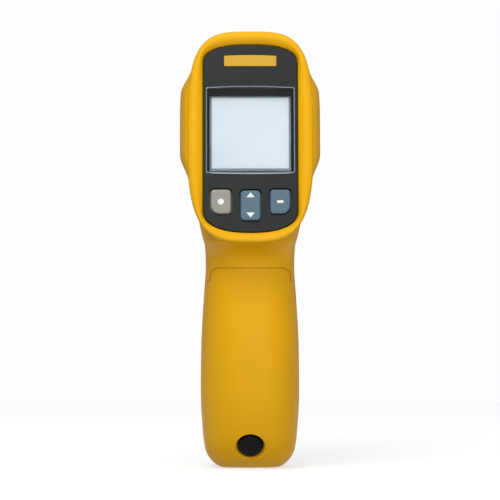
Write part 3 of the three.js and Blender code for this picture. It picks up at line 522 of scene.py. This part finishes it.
def head_loft():
    rings = rim_rings()
    rings += [head_ring(row, 0, RIM_POINTS) for row in spline_rows(HEAD_STATIONS, 7)]
    return loft("head", rings)


def distances(points, obj):
    """How far each point is from the surface of an object."""
    corners = [vertex.co for vertex in obj.data.vertices]
    faces = [face.vertices[:] for face in obj.data.polygons]
    tree = BVHTree.FromPolygons(corners, faces)
    return np.array([tree.find_nearest(Vector(p))[3] for p in points])


BLEND_REACH = 3.5
VOXEL = 0.5


def body_skin():
    head = head_loft()
    handle = handle_loft("handle", 0)
    body = join(duplicate(head, "body"), duplicate(handle, "handle_copy"))
    exact = duplicate(body, "exact")
    remesh = body.modifiers.new("even", "REMESH")
    remesh.mode = "VOXEL"
    remesh.voxel_size = VOXEL
    apply_modifiers(body)
    points = np.empty(len(body.data.vertices) * 3)
    body.data.vertices.foreach_get("co", points)
    points = points.reshape(-1, 3)
    near_junction = (points[:, 2] > LIP_HEIGHT - 14) & (points[:, 2] < LIP_HEIGHT + 18)
    blend = np.zeros(len(points))
    picked = points[near_junction]
    reach = np.maximum(distances(picked, head), distances(picked, handle))
    level = np.array([(DISPLAY.inverted() @ Vector(p)).z for p in picked])
    blend[near_junction] = (1 - smooth_step(0, BLEND_REACH, reach)) * smooth_step(-2.2, -4.0, level)
    soft = body.vertex_groups.new(name="blend")
    firm = body.vertex_groups.new(name="keep")
    for i, weight in enumerate(blend):
        if weight > 0.01:
            soft.add([i], float(weight), "REPLACE")
        firm.add([i], float(1 - weight), "REPLACE")
    wrap = body.modifiers.new("wrap", "SHRINKWRAP")
    wrap.target = exact
    wrap.vertex_group = "keep"
    relax = body.modifiers.new("relax", "SMOOTH")
    relax.factor = 0.6
    relax.iterations = 60
    relax.vertex_group = "blend"
    even = body.modifiers.new("even_out", "SMOOTH")
    even.factor = 0.4
    even.iterations = 2
    apply_modifiers(body)
    body.vertex_groups.clear()
    drop(head, handle, exact)
    return body


LEDGE_BACK = -5.1


def hollow(inside=WALL):
    """The space inside the housing, or a larger core that reaches into its wall."""
    start = (CREST_MIDDLE_Y - LEDGE_BACK / math.cos(TILT), 1, RIM_HALF_WIDTH, 1.2, 3.5, 0.8)
    end = (NOSE_Y - WALL, *HEAD_STATIONS[7][1:])
    rows = spline_rows([start, *HEAD_STATIONS[3:8], end], 5)
    head = loft("inner_head", [head_ring(row, inside, 96) for row in rows])
    return join(head, handle_loft("inner_handle", inside, 4, 72))


# ---- Finishing a piece: millimetres to metres, shading, body, slot and replaced nodes
def finish_piece(obj, name, body, material, nodes=(), sharp=35, flat=False):
    """flat keeps the shading of large flat faces level up to their rounded edges."""
    obj.name = name
    obj.data.name = name
    obj.data.transform(Matrix.Scale(MM, 4))
    obj.data.materials.clear()
    obj.data.materials.append(material)
    obj.data.polygons.foreach_set("use_smooth", [True] * len(obj.data.polygons))
    obj.data.set_sharp_from_angle(angle=math.radians(sharp))
    if flat:
        weighted = obj.modifiers.new("weighted", "WEIGHTED_NORMAL")
        weighted.weight = 100
        weighted.keep_sharp = True
        apply_modifiers(obj)
        obj.data.name = name
    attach(obj, body)
    if nodes:
        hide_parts(*nodes)
    return obj


# ---- Materials
def linear(*screen):
    """A colour given as 0-255 screen values, as scene-linear."""
    return tuple(((c / 255 + 0.055) / 1.055) ** 2.4 if c > 10 else c / 255 / 12.92 for c in screen)


def shade(color, factor):
    return tuple(min(1.0, c * factor) for c in color)


def moulded(name, color, roughness, grain=0.25, depth=0.02, vary=0.05, **sockets):
    """A moulded surface: fine grain in the bump, slight changes of tone and roughness.

    grain is the size of the texture in millimetres and depth its height in millimetres.
    """
    material = bpy.data.materials.new(name)
    material.use_nodes = True
    nodes, links = material.node_tree.nodes, material.node_tree.links
    shader = nodes["Principled BSDF"]
    place = nodes.new("ShaderNodeTexCoord")
    fine = nodes.new("ShaderNodeTexNoise")
    fine.inputs["Scale"].default_value = 1 / (grain * MM)
    fine.inputs["Detail"].default_value = 3
    broad = nodes.new("ShaderNodeTexNoise")
    broad.inputs["Scale"].default_value = 60
    broad.inputs["Detail"].default_value = 4
    tone = nodes.new("ShaderNodeValToRGB")
    tone.color_ramp.elements[0].position = 0.3
    tone.color_ramp.elements[1].position = 0.7
    tone.color_ramp.elements[0].color = (*shade(color, 1 - vary), 1)
    tone.color_ramp.elements[1].color = (*shade(color, 1 + vary), 1)
    gloss = nodes.new("ShaderNodeMapRange")
    gloss.inputs["To Min"].default_value = max(0.02, roughness - 0.05)
    gloss.inputs["To Max"].default_value = min(1.0, roughness + 0.05)
    bump = nodes.new("ShaderNodeBump")
    bump.inputs["Strength"].default_value = 0.5
    bump.inputs["Distance"].default_value = depth * MM
    for texture in (fine, broad):
        links.new(place.outputs["Object"], texture.inputs["Vector"])
    links.new(broad.outputs["Fac"], tone.inputs["Fac"])
    links.new(tone.outputs["Color"], shader.inputs["Base Color"])
    links.new(fine.outputs["Fac"], gloss.inputs["Value"])
    links.new(gloss.outputs["Result"], shader.inputs["Roughness"])
    links.new(fine.outputs["Fac"], bump.inputs["Height"])
    links.new(bump.outputs["Normal"], shader.inputs["Normal"])
    for socket, value in sockets.items():
        shader.inputs[socket.replace("_", " ")].default_value = value
    return material


YELLOW = moulded("yellow_plastic", linear(241, 178, 9), 0.45, 0.35, 0.03, 0.025, Specular_IOR_Level=0.14)
DARK = moulded("dark_plastic", linear(46, 48, 48), 0.5, 0.3, 0.04, 0.06)
GRIP = moulded("grip_rubber", linear(34, 35, 36), 0.75, 0.4, 0.05, 0.08)
PANEL = moulded("panel_plastic", linear(36, 39, 39), 0.4, 0.3, 0.02, 0.05, Specular_IOR_Level=0.24)
BLACK = moulded("black_plastic", linear(20, 20, 21), 0.5, 0.3, 0.03, 0.08)
GASKET = moulded("gasket", linear(9, 11, 14), 0.6, 0.3, 0.02, 0.08, Specular_IOR_Level=0.2)
# Painted highlight: a pale grey-blue colour for the ring round the window, standing in for the light
# caught by the window's edge.
PAINTED_PANE_HIGHLIGHT = moulded("pane_painted_highlight", linear(140, 153, 165), 0.2, 0.4, 0.004, 0.04)
GREY_KEY = moulded("grey_key", linear(154, 151, 142), 0.5, 0.25, 0.015, 0.02, Specular_IOR_Level=0.35)
BLUE_KEY = moulded("blue_key", linear(88, 113, 130), 0.45, 0.25, 0.015, 0.02, Specular_IOR_Level=0.35)
LABEL = moulded("label", linear(212, 166, 44), 0.45, 0.3, 0.01, 0.02, Specular_IOR_Level=0.3)
MARK = moulded("key_mark", linear(236, 238, 238), 0.5, 0.2, 0.005, 0.01)
LATCH = moulded("latch_plastic", linear(7, 6, 5), 0.2, 0.6, 0.008, 0.05, Specular_IOR_Level=0.12)
MAT = moulded("keypad_rubber", linear(24, 24, 26), 0.7, 0.3, 0.03, 0.05)
BOARD = moulded("circuit_board", linear(30, 104, 62), 0.35, 0.8, 0.03, 0.12)
STEEL = moulded("steel", linear(190, 192, 196), 0.3, 0.15, 0.01, 0.04, Metallic=1.0)
BRASS = moulded("brass", linear(196, 160, 92), 0.3, 0.2, 0.01, 0.04, Metallic=1.0)
GOLD = moulded("sensor_metal", linear(206, 180, 124), 0.25, 0.2, 0.01, 0.04, Metallic=1.0)
SLEEVE = moulded("battery_sleeve", linear(58, 82, 110), 0.3, 0.5, 0.005, 0.05, Metallic=0.4)
RED_WIRE = moulded("red_lead", linear(160, 30, 28), 0.5, 0.3, 0.02, 0.05)
INFRARED = moulded("infrared_glass", linear(108, 92, 78), 0.12, 0.6, 0.004, 0.08, Metallic=0.5)
LCD_EDGE = moulded("lcd_edge", linear(160, 172, 183), 0.3, 0.5, 0.004, 0.03)
LCD_FACE_PAINTED_GLOW = moulded("lcd_face_painted_glow", linear(222, 230, 236), 0.5, 0.2, 0.004, 0.03)
# Painted light: the emission makes the LCD face glow, standing in for the light it gets through the
# window; the face is no lamp.
LCD_FACE_PAINTED_GLOW.node_tree.nodes["Principled BSDF"].inputs["Emission Color"].default_value = (0.86, 0.93, 1.0, 1)
LCD_FACE_PAINTED_GLOW.node_tree.nodes["Principled BSDF"].inputs["Emission Strength"].default_value = 0.24
GUIDE = moulded("light_guide", linear(228, 232, 230), 0.4, 0.5, 0.01, 0.03)
WINDOW = moulded(
    "clear_window", (0.96, 0.98, 0.99), 0.05, 0.5, 0.002, 0.01, Transmission_Weight=1.0, IOR=1.33)
RED_WINDOW = moulded(
    "red_window", (0.8, 0.12, 0.08), 0.06, 0.5, 0.002, 0.02, Transmission_Weight=0.9, IOR=1.49)


# ---- Housing pieces
def side_slab(low_y, high_y, name="slab"):
    return block((-FAR, low_y, -FAR), (FAR, high_y, FAR), name)


def screw_hole(side, start, end, radius):
    """A bore for a low housing screw, between two distances from the parting line."""
    x = side * LOW_SCREW_X
    return rod((x, PARTING_Y + start, LOW_SCREW_Z), (x, PARTING_Y + end, LOW_SCREW_Z), radius)


def door_region(by):
    """Everything behind the door's seam, shrunk by a clearance on each side."""
    side, top, corner_low = DOOR_HALF_WIDTH - by, DOOR_TOP - by, DOOR_TOP - DOOR_CORNER
    shoulder, radius = corner_low - DOOR_SHOULDER - by, DOOR_CORNER - by
    corner = [
        (side - radius + radius * math.cos(a), corner_low + radius * math.sin(a))
        for a in np.linspace(0, math.pi / 2, 17)]
    right = [(FAR, -FAR), (FAR, shoulder), (side, shoulder), *corner]
    outline = right + [(-x, z) for x, z in reversed(right)]
    upright = Matrix.Rotation(math.pi / 2, 4, "X")
    return plate("door_region", [outline], by - DOOR_EDGE_Y, FAR, upright)


LATCH_OUT = Vector((0, -math.cos(LATCH_TILT), -math.sin(LATCH_TILT)))
LATCH_FACE = Vector((0, handle_rear(LATCH_HEIGHT), LATCH_HEIGHT))
LATCH_AIM = Vector((0, 1, 0)).rotation_difference(-LATCH_OUT)
LATCH_TURN = Matrix.Translation(LATCH_FACE) @ LATCH_AIM.to_matrix().to_4x4()
lens_low, lens_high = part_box("infrared_lens")
LENS_HEIGHT = (lens_low.z + lens_high.z) / 2 / MM
laser_low, laser_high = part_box("laser_window")
LASER_HEIGHT = (laser_low.z + laser_high.z) / 2 / MM
LASER_RADIUS = (laser_high.z - laser_low.z) / 2 / MM
tube_low, tube_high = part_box("lens_tube")
TUBE_RADIUS = (tube_high.z - tube_low.z) / 2 / MM
pin_low, pin_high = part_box("trigger_pin")
PIVOT_Y = (pin_low.y + pin_high.y) / 2 / MM
PIVOT_Z = (pin_low.z + pin_high.z) / 2 / MM
trigger_low, trigger_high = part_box("trigger")
TRIGGER_WIDTH = (trigger_high.x - trigger_low.x) / MM

body = body_skin()
inner = hollow()
shell = combine(duplicate(body, "shell"), inner, "DIFFERENCE", keep=True)

display_opening = plate(
    "display_opening", [lcd_outline(LCD_HALF_WIDTH + FRAME_OUTER, LCD_HALF_LENGTH + FRAME_OUTER)],
    LEDGE_BACK - 6, 0, DISPLAY)
mat_outline = rounded_rectangle(
    -MAT_HALF_WIDTH, MAT_HALF_WIDTH, ROCKER_LOW - 1.1, ROCKER_HIGH + 1.3, [4, 4, 1, 1])
key_opening = plate("key_opening", [mat_outline], LEDGE_BACK - 6, 0, DISPLAY)
rear = meet(duplicate(shell, "rear"), side_slab(-FAR, PARTING_Y))
lug = block((-LUG_HALF_WIDTH, PARTING_Y - LUG_DEPTH, LUG_LOW), (LUG_HALF_WIDTH, PARTING_Y, LUG_HIGH))
lug = combine(lug, body, "INTERSECT", keep=True)
rear = join(rear, lug)
lip = meet(hollow(WALL - LIP_THICKNESS), side_slab(PARTING_Y - 0.5, PARTING_Y + GAP - 0.02))
lip = combine(lip, inner, "DIFFERENCE", keep=True)
rear = join(rear, lip)
rear = cut(rear, display_opening, key_opening, door_region(0))
for side in (-1, 1):
    rear = cut(
        rear,
        screw_hole(side, -13, -4, SCREW_HEAD_RADIUS),
        screw_hole(side, -5, 1, SCREW_RADIUS + GAP))
finish_piece(rear, "rear_shell", "housing", YELLOW, ["rear_housing"])

# Battery door: the back of the handle, with a cup for the latch and two hooks at the top
door = meet(duplicate(shell, "door"), door_region(SEAM))
cup_floor = LATCH_FACE - LATCH_OUT * (LATCH_CUP_DEPTH + LATCH_FLOOR)
cup = rod(LATCH_FACE + LATCH_OUT * 4, cup_floor, LATCH_RADIUS + LATCH_WALL)
cup = meet(combine(cup, body, "INTERSECT", keep=True), door_region(SEAM))
door = join(door, cup)
hook_rear = inner_rear(DOOR_TOP, HOOK_SIDE + HOOK_WIDTH) + GAP
hook_front = hook_rear + HOOK_THICKNESS
for side in (-1, 1):
    low_x, high_x = sorted((side * HOOK_SIDE, side * (HOOK_SIDE + HOOK_WIDTH)))
    foot_rear = handle_rear(DOOR_TOP) + WALL / 2
    foot = block((low_x, foot_rear, DOOR_TOP - HOOK_FOOT), (high_x, hook_front, DOOR_TOP - GAP))
    tip_low = (low_x, hook_rear, DOOR_TOP - HOOK_FOOT + 1)
    tip = block(tip_low, (high_x, hook_front, DOOR_TOP + HOOK_REACH))
    door = join(door, join(foot, tip))
stem_bore = LATCH_STEM_RADIUS + GAP
bore = lathe(
    "bore",
    [(0, -6), (LATCH_RADIUS + 2.4, -6), (LATCH_RADIUS + 2.4, -0.7), (LATCH_RADIUS + 1.3, -0.05),
     (LATCH_RADIUS + 0.8, 0.4), (LATCH_RADIUS + 0.4, 0.9), (LATCH_RADIUS + 0.1, 1.4), (LATCH_RADIUS, 2),
     (LATCH_RADIUS, LATCH_CUP_DEPTH),
     (stem_bore, LATCH_CUP_DEPTH), (stem_bore, LATCH_CUP_DEPTH + 4), (0, LATCH_CUP_DEPTH + 4)],
    LATCH_TURN)
door = cut(door, bore)
finish_piece(door, "battery_door_shell", "battery_door", YELLOW, ["battery_door"])

# Front housing, rubber grip and nose bezel
nose_start = NOSE_Y - NOSE_LENGTH


def grip_block(by):
    return block((-FAR, PARTING_Y + 2 - by, GRIP_LOW - by), (FAR, FAR, GRIP_HIGH + by))


front = meet(duplicate(shell, "front"), side_slab(PARTING_Y + GAP, nose_start - GAP))
seat = cut(grip_block(GAP), handle_loft("seat_core", GRIP_THICKNESS + GAP))
slot_half = TRIGGER_WIDTH / 2 + 0.6
slot_low = (-slot_half, PARTING_Y + 0.2, GRIP_HIGH + 3.5)
slot_block = block(slot_low, (slot_half, PIVOT_Y + 7.5, PIVOT_Z - 2))
front = cut(front, seat, slot_block)
finish_piece(front, "front_shell", "housing", YELLOW, ["front_housing"])

RIB_PITCH, RIB_DEPTH = 5.2, 0.55
rows = spline_rows(HANDLE_STATIONS, 24)
rings = []
for row in rows:
    share = (row[0] - GRIP_LOW - 2.5) / RIB_PITCH
    inside_ribs = GRIP_LOW + 4 < row[0] < GRIP_HIGH - 6
    groove = RIB_DEPTH * max(0.0, math.cos(2 * math.pi * share)) ** 6 if inside_ribs else 0.0
    rings.append(handle_ring(row, groove, 128))
grip = meet(loft("grip", rings), grip_block(0))
grip = cut(grip, handle_loft("grip_core", GRIP_THICKNESS))
finish_piece(grip, "front_grip_rubber", "housing", GRIP, ["front_grip"])

nose = meet(duplicate(body, "nose"), side_slab(nose_start, FAR))
nose_hollow = meet(duplicate(inner, "nose_hollow"), side_slab(-FAR, NOSE_Y - WALL))
lens_place = Matrix.Translation((0, 0, LENS_HEIGHT))
aperture = lathe(
    "aperture",
    [(0, nose_start - 2), (LENS_OPENING, nose_start - 2), (LENS_OPENING, NOSE_Y - 3.6),
     (LENS_OPENING + 0.3, NOSE_Y - 3.0), (LENS_OPENING + 2.9, NOSE_Y - 0.7),
     (LENS_OPENING + 3.7, NOSE_Y - 0.2), (LENS_OPENING + 4.8, NOSE_Y + 0.1),
     (LENS_OPENING + 4.8, NOSE_Y + 2), (0, NOSE_Y + 2)],
    lens_place)
socket = rod((0, nose_start - 1, LENS_HEIGHT), (0, NOSE_Y - 3.7, LENS_HEIGHT), TUBE_RADIUS + GAP)
laser_hole = lathe(
    "laser_hole",
    [(0, nose_start), (LASER_RADIUS + GAP, nose_start), (LASER_RADIUS + GAP, NOSE_Y - 0.6),
     (LASER_RADIUS + 0.9, NOSE_Y + 0.02), (LASER_RADIUS + 0.9, NOSE_Y + 1), (0, NOSE_Y + 1)],
    Matrix.Translation((0, 0, LASER_HEIGHT)))
nose = cut(nose, nose_hollow, aperture, socket, laser_hole)
finish_piece(nose, "nose_cover", "housing", DARK, ["nose_bezel"])
drop(body, inner, shell)

# ---- Display panel and what sits in it
PANEL_LEVEL = -PANEL_DEPTH
KEY_TOP = PANEL_LEVEL + KEY_PROUD


def key_outline(low, high, middle, radii, by=0.0):
    half = KEY_WIDTH / 2 + by
    return rounded_rectangle(middle - half, middle + half, low - by, high + by, [r + by for r in radii])


KEYS = [
    ("select", -KEY_PITCH, KEY_LOW, KEY_HIGH, (3, 1.2, 1.2, 1.2), GREY_KEY, "grey_key", "key_select"),
    ("up_down", 0, ROCKER_LOW, ROCKER_HIGH, (1.4, 1.4, 1.4, 1.4), BLUE_KEY, "blue_key", "key_up_down"),
    ("set", KEY_PITCH, KEY_LOW, KEY_HIGH, (1.2, 3, 1.2, 1.2), BLUE_KEY, "blue_key", "key_set"),
]


def window_outline(by):
    half = WINDOW_HALF_WIDTH + by
    return bowed_rectangle(half, WINDOW_LOW - by, WINDOW_HIGH + by, 0.25, 0.5, 0.4 + by)


panel = plate("panel", [panel_outline(0)], PANEL_LEVEL - PANEL_THICKNESS, PANEL_LEVEL, DISPLAY, 0.3)
panel = cut(panel, plate("window_hole", [window_outline(0.2)], -6, 1, DISPLAY))
for name, middle, low, high, radii, *rest in KEYS:
    panel = cut(panel, plate("well", [key_outline(low, high, middle, radii, KEY_WELL)], -6, 1, DISPLAY))
dimple_low, dimple_high = DIMPLE_V - DIMPLE_RADIUS, DIMPLE_V + DIMPLE_RADIUS
dimple_outline = rounded_rectangle(
    -DIMPLE_RADIUS, DIMPLE_RADIUS, dimple_low, dimple_high, [DIMPLE_RADIUS] * 4)
panel = cut(panel, plate("dimple", [dimple_outline], PANEL_LEVEL - DIMPLE_DEPTH, 1, DISPLAY))
finish_piece(panel, "display_panel_plate", "housing", PANEL, ["display_panel"], flat=True)

pane = plate(
    "pane", [window_outline(0)], PANEL_LEVEL - PANEL_THICKNESS + 0.1, PANEL_LEVEL + 0.12, DISPLAY, 0.4, 4)
finish_piece(pane, "display_window_pane", "housing", WINDOW, ["display_window"], flat=True)

# A thin pale ring round the window: a painted highlight where the window's edge catches light.
pane_painted_highlight = plate(
    "pane_painted_highlight", [window_outline(0.05), window_outline(-0.24)],
    PANEL_LEVEL + 0.02, PANEL_LEVEL + 0.16, DISPLAY)
finish_piece(pane_painted_highlight, "window_painted_highlight", "housing", PAINTED_PANE_HIGHLIGHT, flat=True)

label_high = PANEL_HIGH - LABEL_TOP_MARGIN
label = plate(
    "label", [bowed_rectangle(LABEL_HALF_WIDTH, label_high - LABEL_LENGTH, label_high, 0, 0.25, 0.4)],
    PANEL_LEVEL + 0.02, PANEL_LEVEL + 0.3, DISPLAY, 0.1, 2)
finish_piece(label, "label_plate_blank", "housing", LABEL, ["label_plate"], flat=True)

gasket = plate(
    "gasket",
    [bowed_rectangle(GASKET_HALF_WIDTH, WINDOW_LOW - 0.4, WINDOW_HIGH + 0.5, 0.2, 0.3, 0.4),
     rounded_rectangle(-GASKET_OPENING, GASKET_OPENING, WINDOW_LOW + 0.9, LCD_MIDDLE + 13.2, [0.3] * 4)],
    -3.58, -3.33, DISPLAY, 0.05, 1)
finish_piece(gasket, "window_gasket", "housing", GASKET, flat=True)
cell_outline = lcd_outline(LCD_HALF_WIDTH, LCD_HALF_LENGTH)
cell = plate("cell", [cell_outline], LCD_LEVEL - 1.8, LCD_LEVEL, DISPLAY, 0.1, 1)
finish_piece(cell, "lcd_cell_glass", "housing", LCD_EDGE, ["lcd_glass"], flat=True)
face_outline = lcd_outline(FACE_HALF_WIDTH, FACE_HALF_LENGTH, 0.2)
face = plate("face", [face_outline], LCD_LEVEL + 0.02, LCD_LEVEL + 0.16, DISPLAY, 0.03, 1)
finish_piece(face, "lcd_polariser", "housing", LCD_FACE_PAINTED_GLOW, flat=True)

for name, middle, low, high, radii, material, slot_name, node in KEYS:
    cap = plate("cap", [key_outline(low, high, middle, radii)], -4.0, KEY_TOP, DISPLAY, 0.55, 4)
    flange = plate("flange", [key_outline(low, high, middle, radii, KEY_FLANGE)], -4.4, -3.75, DISPLAY)
    finish_piece(join(cap, flange), f"key_cap_{name}", node, material, [node], flat=True)


def circle(x, y, radius, steps=32):
    angles = np.linspace(0, 2 * math.pi, steps, False)
    return [(x + radius * math.cos(a), y + radius * math.sin(a)) for a in angles]


def key_mark(name, outline, node):
    mark = plate("mark", [outline], KEY_TOP - 0.05, KEY_TOP + 0.03, DISPLAY)
    finish_piece(mark, name, node, MARK)


triangle_up = [(-MARK_SIZE, 17.0), (MARK_SIZE, 17.0), (0, 18.8)]
triangle_down = [(-MARK_SIZE, 11.4), (0, 9.6), (MARK_SIZE, 11.4)]
bar = rounded_rectangle(KEY_PITCH - 1.1, KEY_PITCH + 1.1, 14.9, 15.9, [0.2] * 4)
key_mark("mark_up", triangle_up, "key_up_down")
key_mark("mark_select", circle(-KEY_PITCH, 15.4, 1.1), "key_select")
key_mark("mark_set", bar, "key_set")
key_mark("mark_down", triangle_down, "key_up_down")

# ---- Latch button
button_radius = LATCH_RADIUS - LATCH_PLAY
button_back = LATCH_RECESS + LATCH_HEAD
stem_end = LATCH_CUP_DEPTH + LATCH_FLOOR + 1.3
button = lathe(
    "button",
    [(0, LATCH_RECESS - 0.45), (button_radius * 0.5, LATCH_RECESS - 0.4),
     (button_radius - 0.8, LATCH_RECESS - 0.25), (button_radius - 0.25, LATCH_RECESS - 0.02),
     (button_radius, LATCH_RECESS + 0.4), (button_radius, button_back),
     (LATCH_STEM_RADIUS, button_back), (LATCH_STEM_RADIUS, stem_end), (0, stem_end)],
    LATCH_TURN)
finish_piece(button, "latch_button_cap", "door_latch", LATCH, ["door_latch_button"])

# ---- Trigger: its side outline swept across, with rounded edges
def curve_points(start, control, end, steps=14):
    points = []
    for i in range(1, steps + 1):
        t = i / steps
        points.append(tuple(
            (1 - t) ** 2 * a + 2 * t * (1 - t) * b + t ** 2 * c for a, b, c in zip(start, control, end)))
    return points


py, pz = PIVOT_Y, PIVOT_Z
rear_low = (PARTING_Y + 4.2, pz - 27)
toe = (py + 3.6, pz - 26.6)
brow = (py + 4.4, pz - 4.5)
trigger_outline = [(py - 6.4, pz - 3), (PARTING_Y + 3.6, pz - 10), rear_low]
trigger_outline += curve_points(rear_low, (py + 1, pz - 29.5), toe)
trigger_outline += curve_points(toe, (py - 1.2, pz - 16), brow, 24)
trigger_outline += [
    (py + 3.4 * math.cos(a), pz + 3.4 * math.sin(a)) for a in np.linspace(-0.35, 2.6, 20)]
across = Matrix(((0, 0, 1, 0), (1, 0, 0, 0), (0, 1, 0, 0), (0, 0, 0, 1)))
trigger = plate("trigger", [trigger_outline], -TRIGGER_WIDTH / 2, TRIGGER_WIDTH / 2, across, 1.2, 5)
trigger = cut(trigger, rod((-12, py, pz), (12, py, pz), PIN_BORE))
finish_piece(trigger, "trigger_blade", "trigger", DARK, ["trigger"], flat=True)

# ---- Materials of the nodes that keep their own shape
CARRIED = {
    BLACK: ["lcd_frame", "processor_chip", "battery_tray", "lens_tube", "laser_bracket", "trigger_switch",
            "key_switch_select", "key_switch_up", "key_switch_down", "key_switch_set"],
    MAT: ["keypad_mat", "lcd_contact_strip", "battery_lead_negative", "sensor_lead"],
    BOARD: ["main_board", "trigger_board", "sensor_board"],
    STEEL: ["board_screw_upper_left", "board_screw_upper_right", "board_screw_lower_left",
            "board_screw_lower_right", "housing_screw_upper_left", "housing_screw_upper_right",
            "housing_screw_lower_left", "housing_screw_lower_right", "trigger_pin", "trigger_spring",
            "battery_contact_spring", "battery_contact_plate", "door_latch_spring", "door_latch_washer"],
    BRASS: ["laser_module"],
    GOLD: ["sensor_can"],
    SLEEVE: ["battery_cell"],
    RED_WIRE: ["battery_lead_positive"],
    INFRARED: ["infrared_lens"],
    DARK: ["lens_retaining_ring"],
    GUIDE: ["lcd_backlight"],
    RED_WINDOW: ["laser_window"],
}
for material, names in CARRIED.items():
    for name in names:
        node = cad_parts[name]
        for slot_holder in node.material_slots:
            slot_holder.material = material

# ---- Camera, floor and light
CAMERA_DISTANCE = 1.5
CAMERA_AZIMUTH, CAMERA_ELEVATION = math.radians(-0.5), math.radians(1.2)
SHOWN_HEIGHT = 0.1771  # height of the picture at the object's back
target = Vector((-0.00015, -0.030, 0.07825))
away = Vector((
    math.sin(CAMERA_AZIMUTH) * math.cos(CAMERA_ELEVATION),
    -math.cos(CAMERA_AZIMUTH) * math.cos(CAMERA_ELEVATION),
    math.sin(CAMERA_ELEVATION)))
camera = bpy.data.objects.new("camera", bpy.data.cameras.new("camera"))
SCENE.collection.objects.link(camera)
camera.data.lens = camera.data.sensor_width * CAMERA_DISTANCE / SHOWN_HEIGHT
camera.data.clip_start, camera.data.clip_end = 0.01, 20
camera.location = target + away * CAMERA_DISTANCE
camera.rotation_euler = (-away).to_track_quat("-Z", "Y").to_euler()
SCENE.camera = camera
SCENE.view_settings.view_transform = "Standard"

FLOOR = moulded(
    "floor", (0.5, 0.5, 0.5), 0.9, 2.0, 0.02, 0.01,
    Specular_IOR_Level=0.0, Emission_Color=(1, 1, 1, 1), Emission_Strength=0.62)
floor = block((-400, -400, -10), (400, 400, 0), "floor")
floor.data.transform(Matrix.Scale(MM, 4))
floor.data.materials.append(FLOOR)
floor.visible_diffuse = False  # white, without throwing its light up under the head


def soft_light(name, place, aim, size, power, color=(1, 1, 1)):
    light = bpy.data.objects.new(name, bpy.data.lights.new(name, "AREA"))
    light.data.shape = "SQUARE"
    light.data.size = size
    light.data.energy = power
    light.data.color = color
    light.location = place
    light.rotation_euler = (Vector(place) - Vector(aim)).to_track_quat("Z", "Y").to_euler()
    SCENE.collection.objects.link(light)


middle = (0, -0.01, 0.09)
soft_light("key_light", (-0.2, -0.48, 0.74), middle, 0.4, 2.5)
soft_light("front_light", (0.15, -0.9, 0.05), middle, 0.9, 4.4)
soft_light("top_light", (0, -0.1, 1.1), (0, 0, 0), 1.2, 4.2)
world = bpy.data.worlds.new("studio")
world.use_nodes = True
background = world.node_tree.nodes["Background"]
background.inputs["Color"].default_value = (1, 1, 1, 1)
background.inputs["Strength"].default_value = 0.34
seen = world.node_tree.nodes.new("ShaderNodeBackground")
seen.inputs["Strength"].default_value = 0.98
ray = world.node_tree.nodes.new("ShaderNodeLightPath")
either = world.node_tree.nodes.new("ShaderNodeMixShader")
seen.inputs["Color"].default_value = (1, 1, 1, 1)
world.node_tree.links.new(ray.outputs["Is Camera Ray"], either.inputs[0])
world.node_tree.links.new(background.outputs[0], either.inputs[1])
world.node_tree.links.new(seen.outputs[0], either.inputs[2])
world.node_tree.links.new(either.outputs[0], world.node_tree.nodes["World Output"].inputs["Surface"])
SCENE.world = world
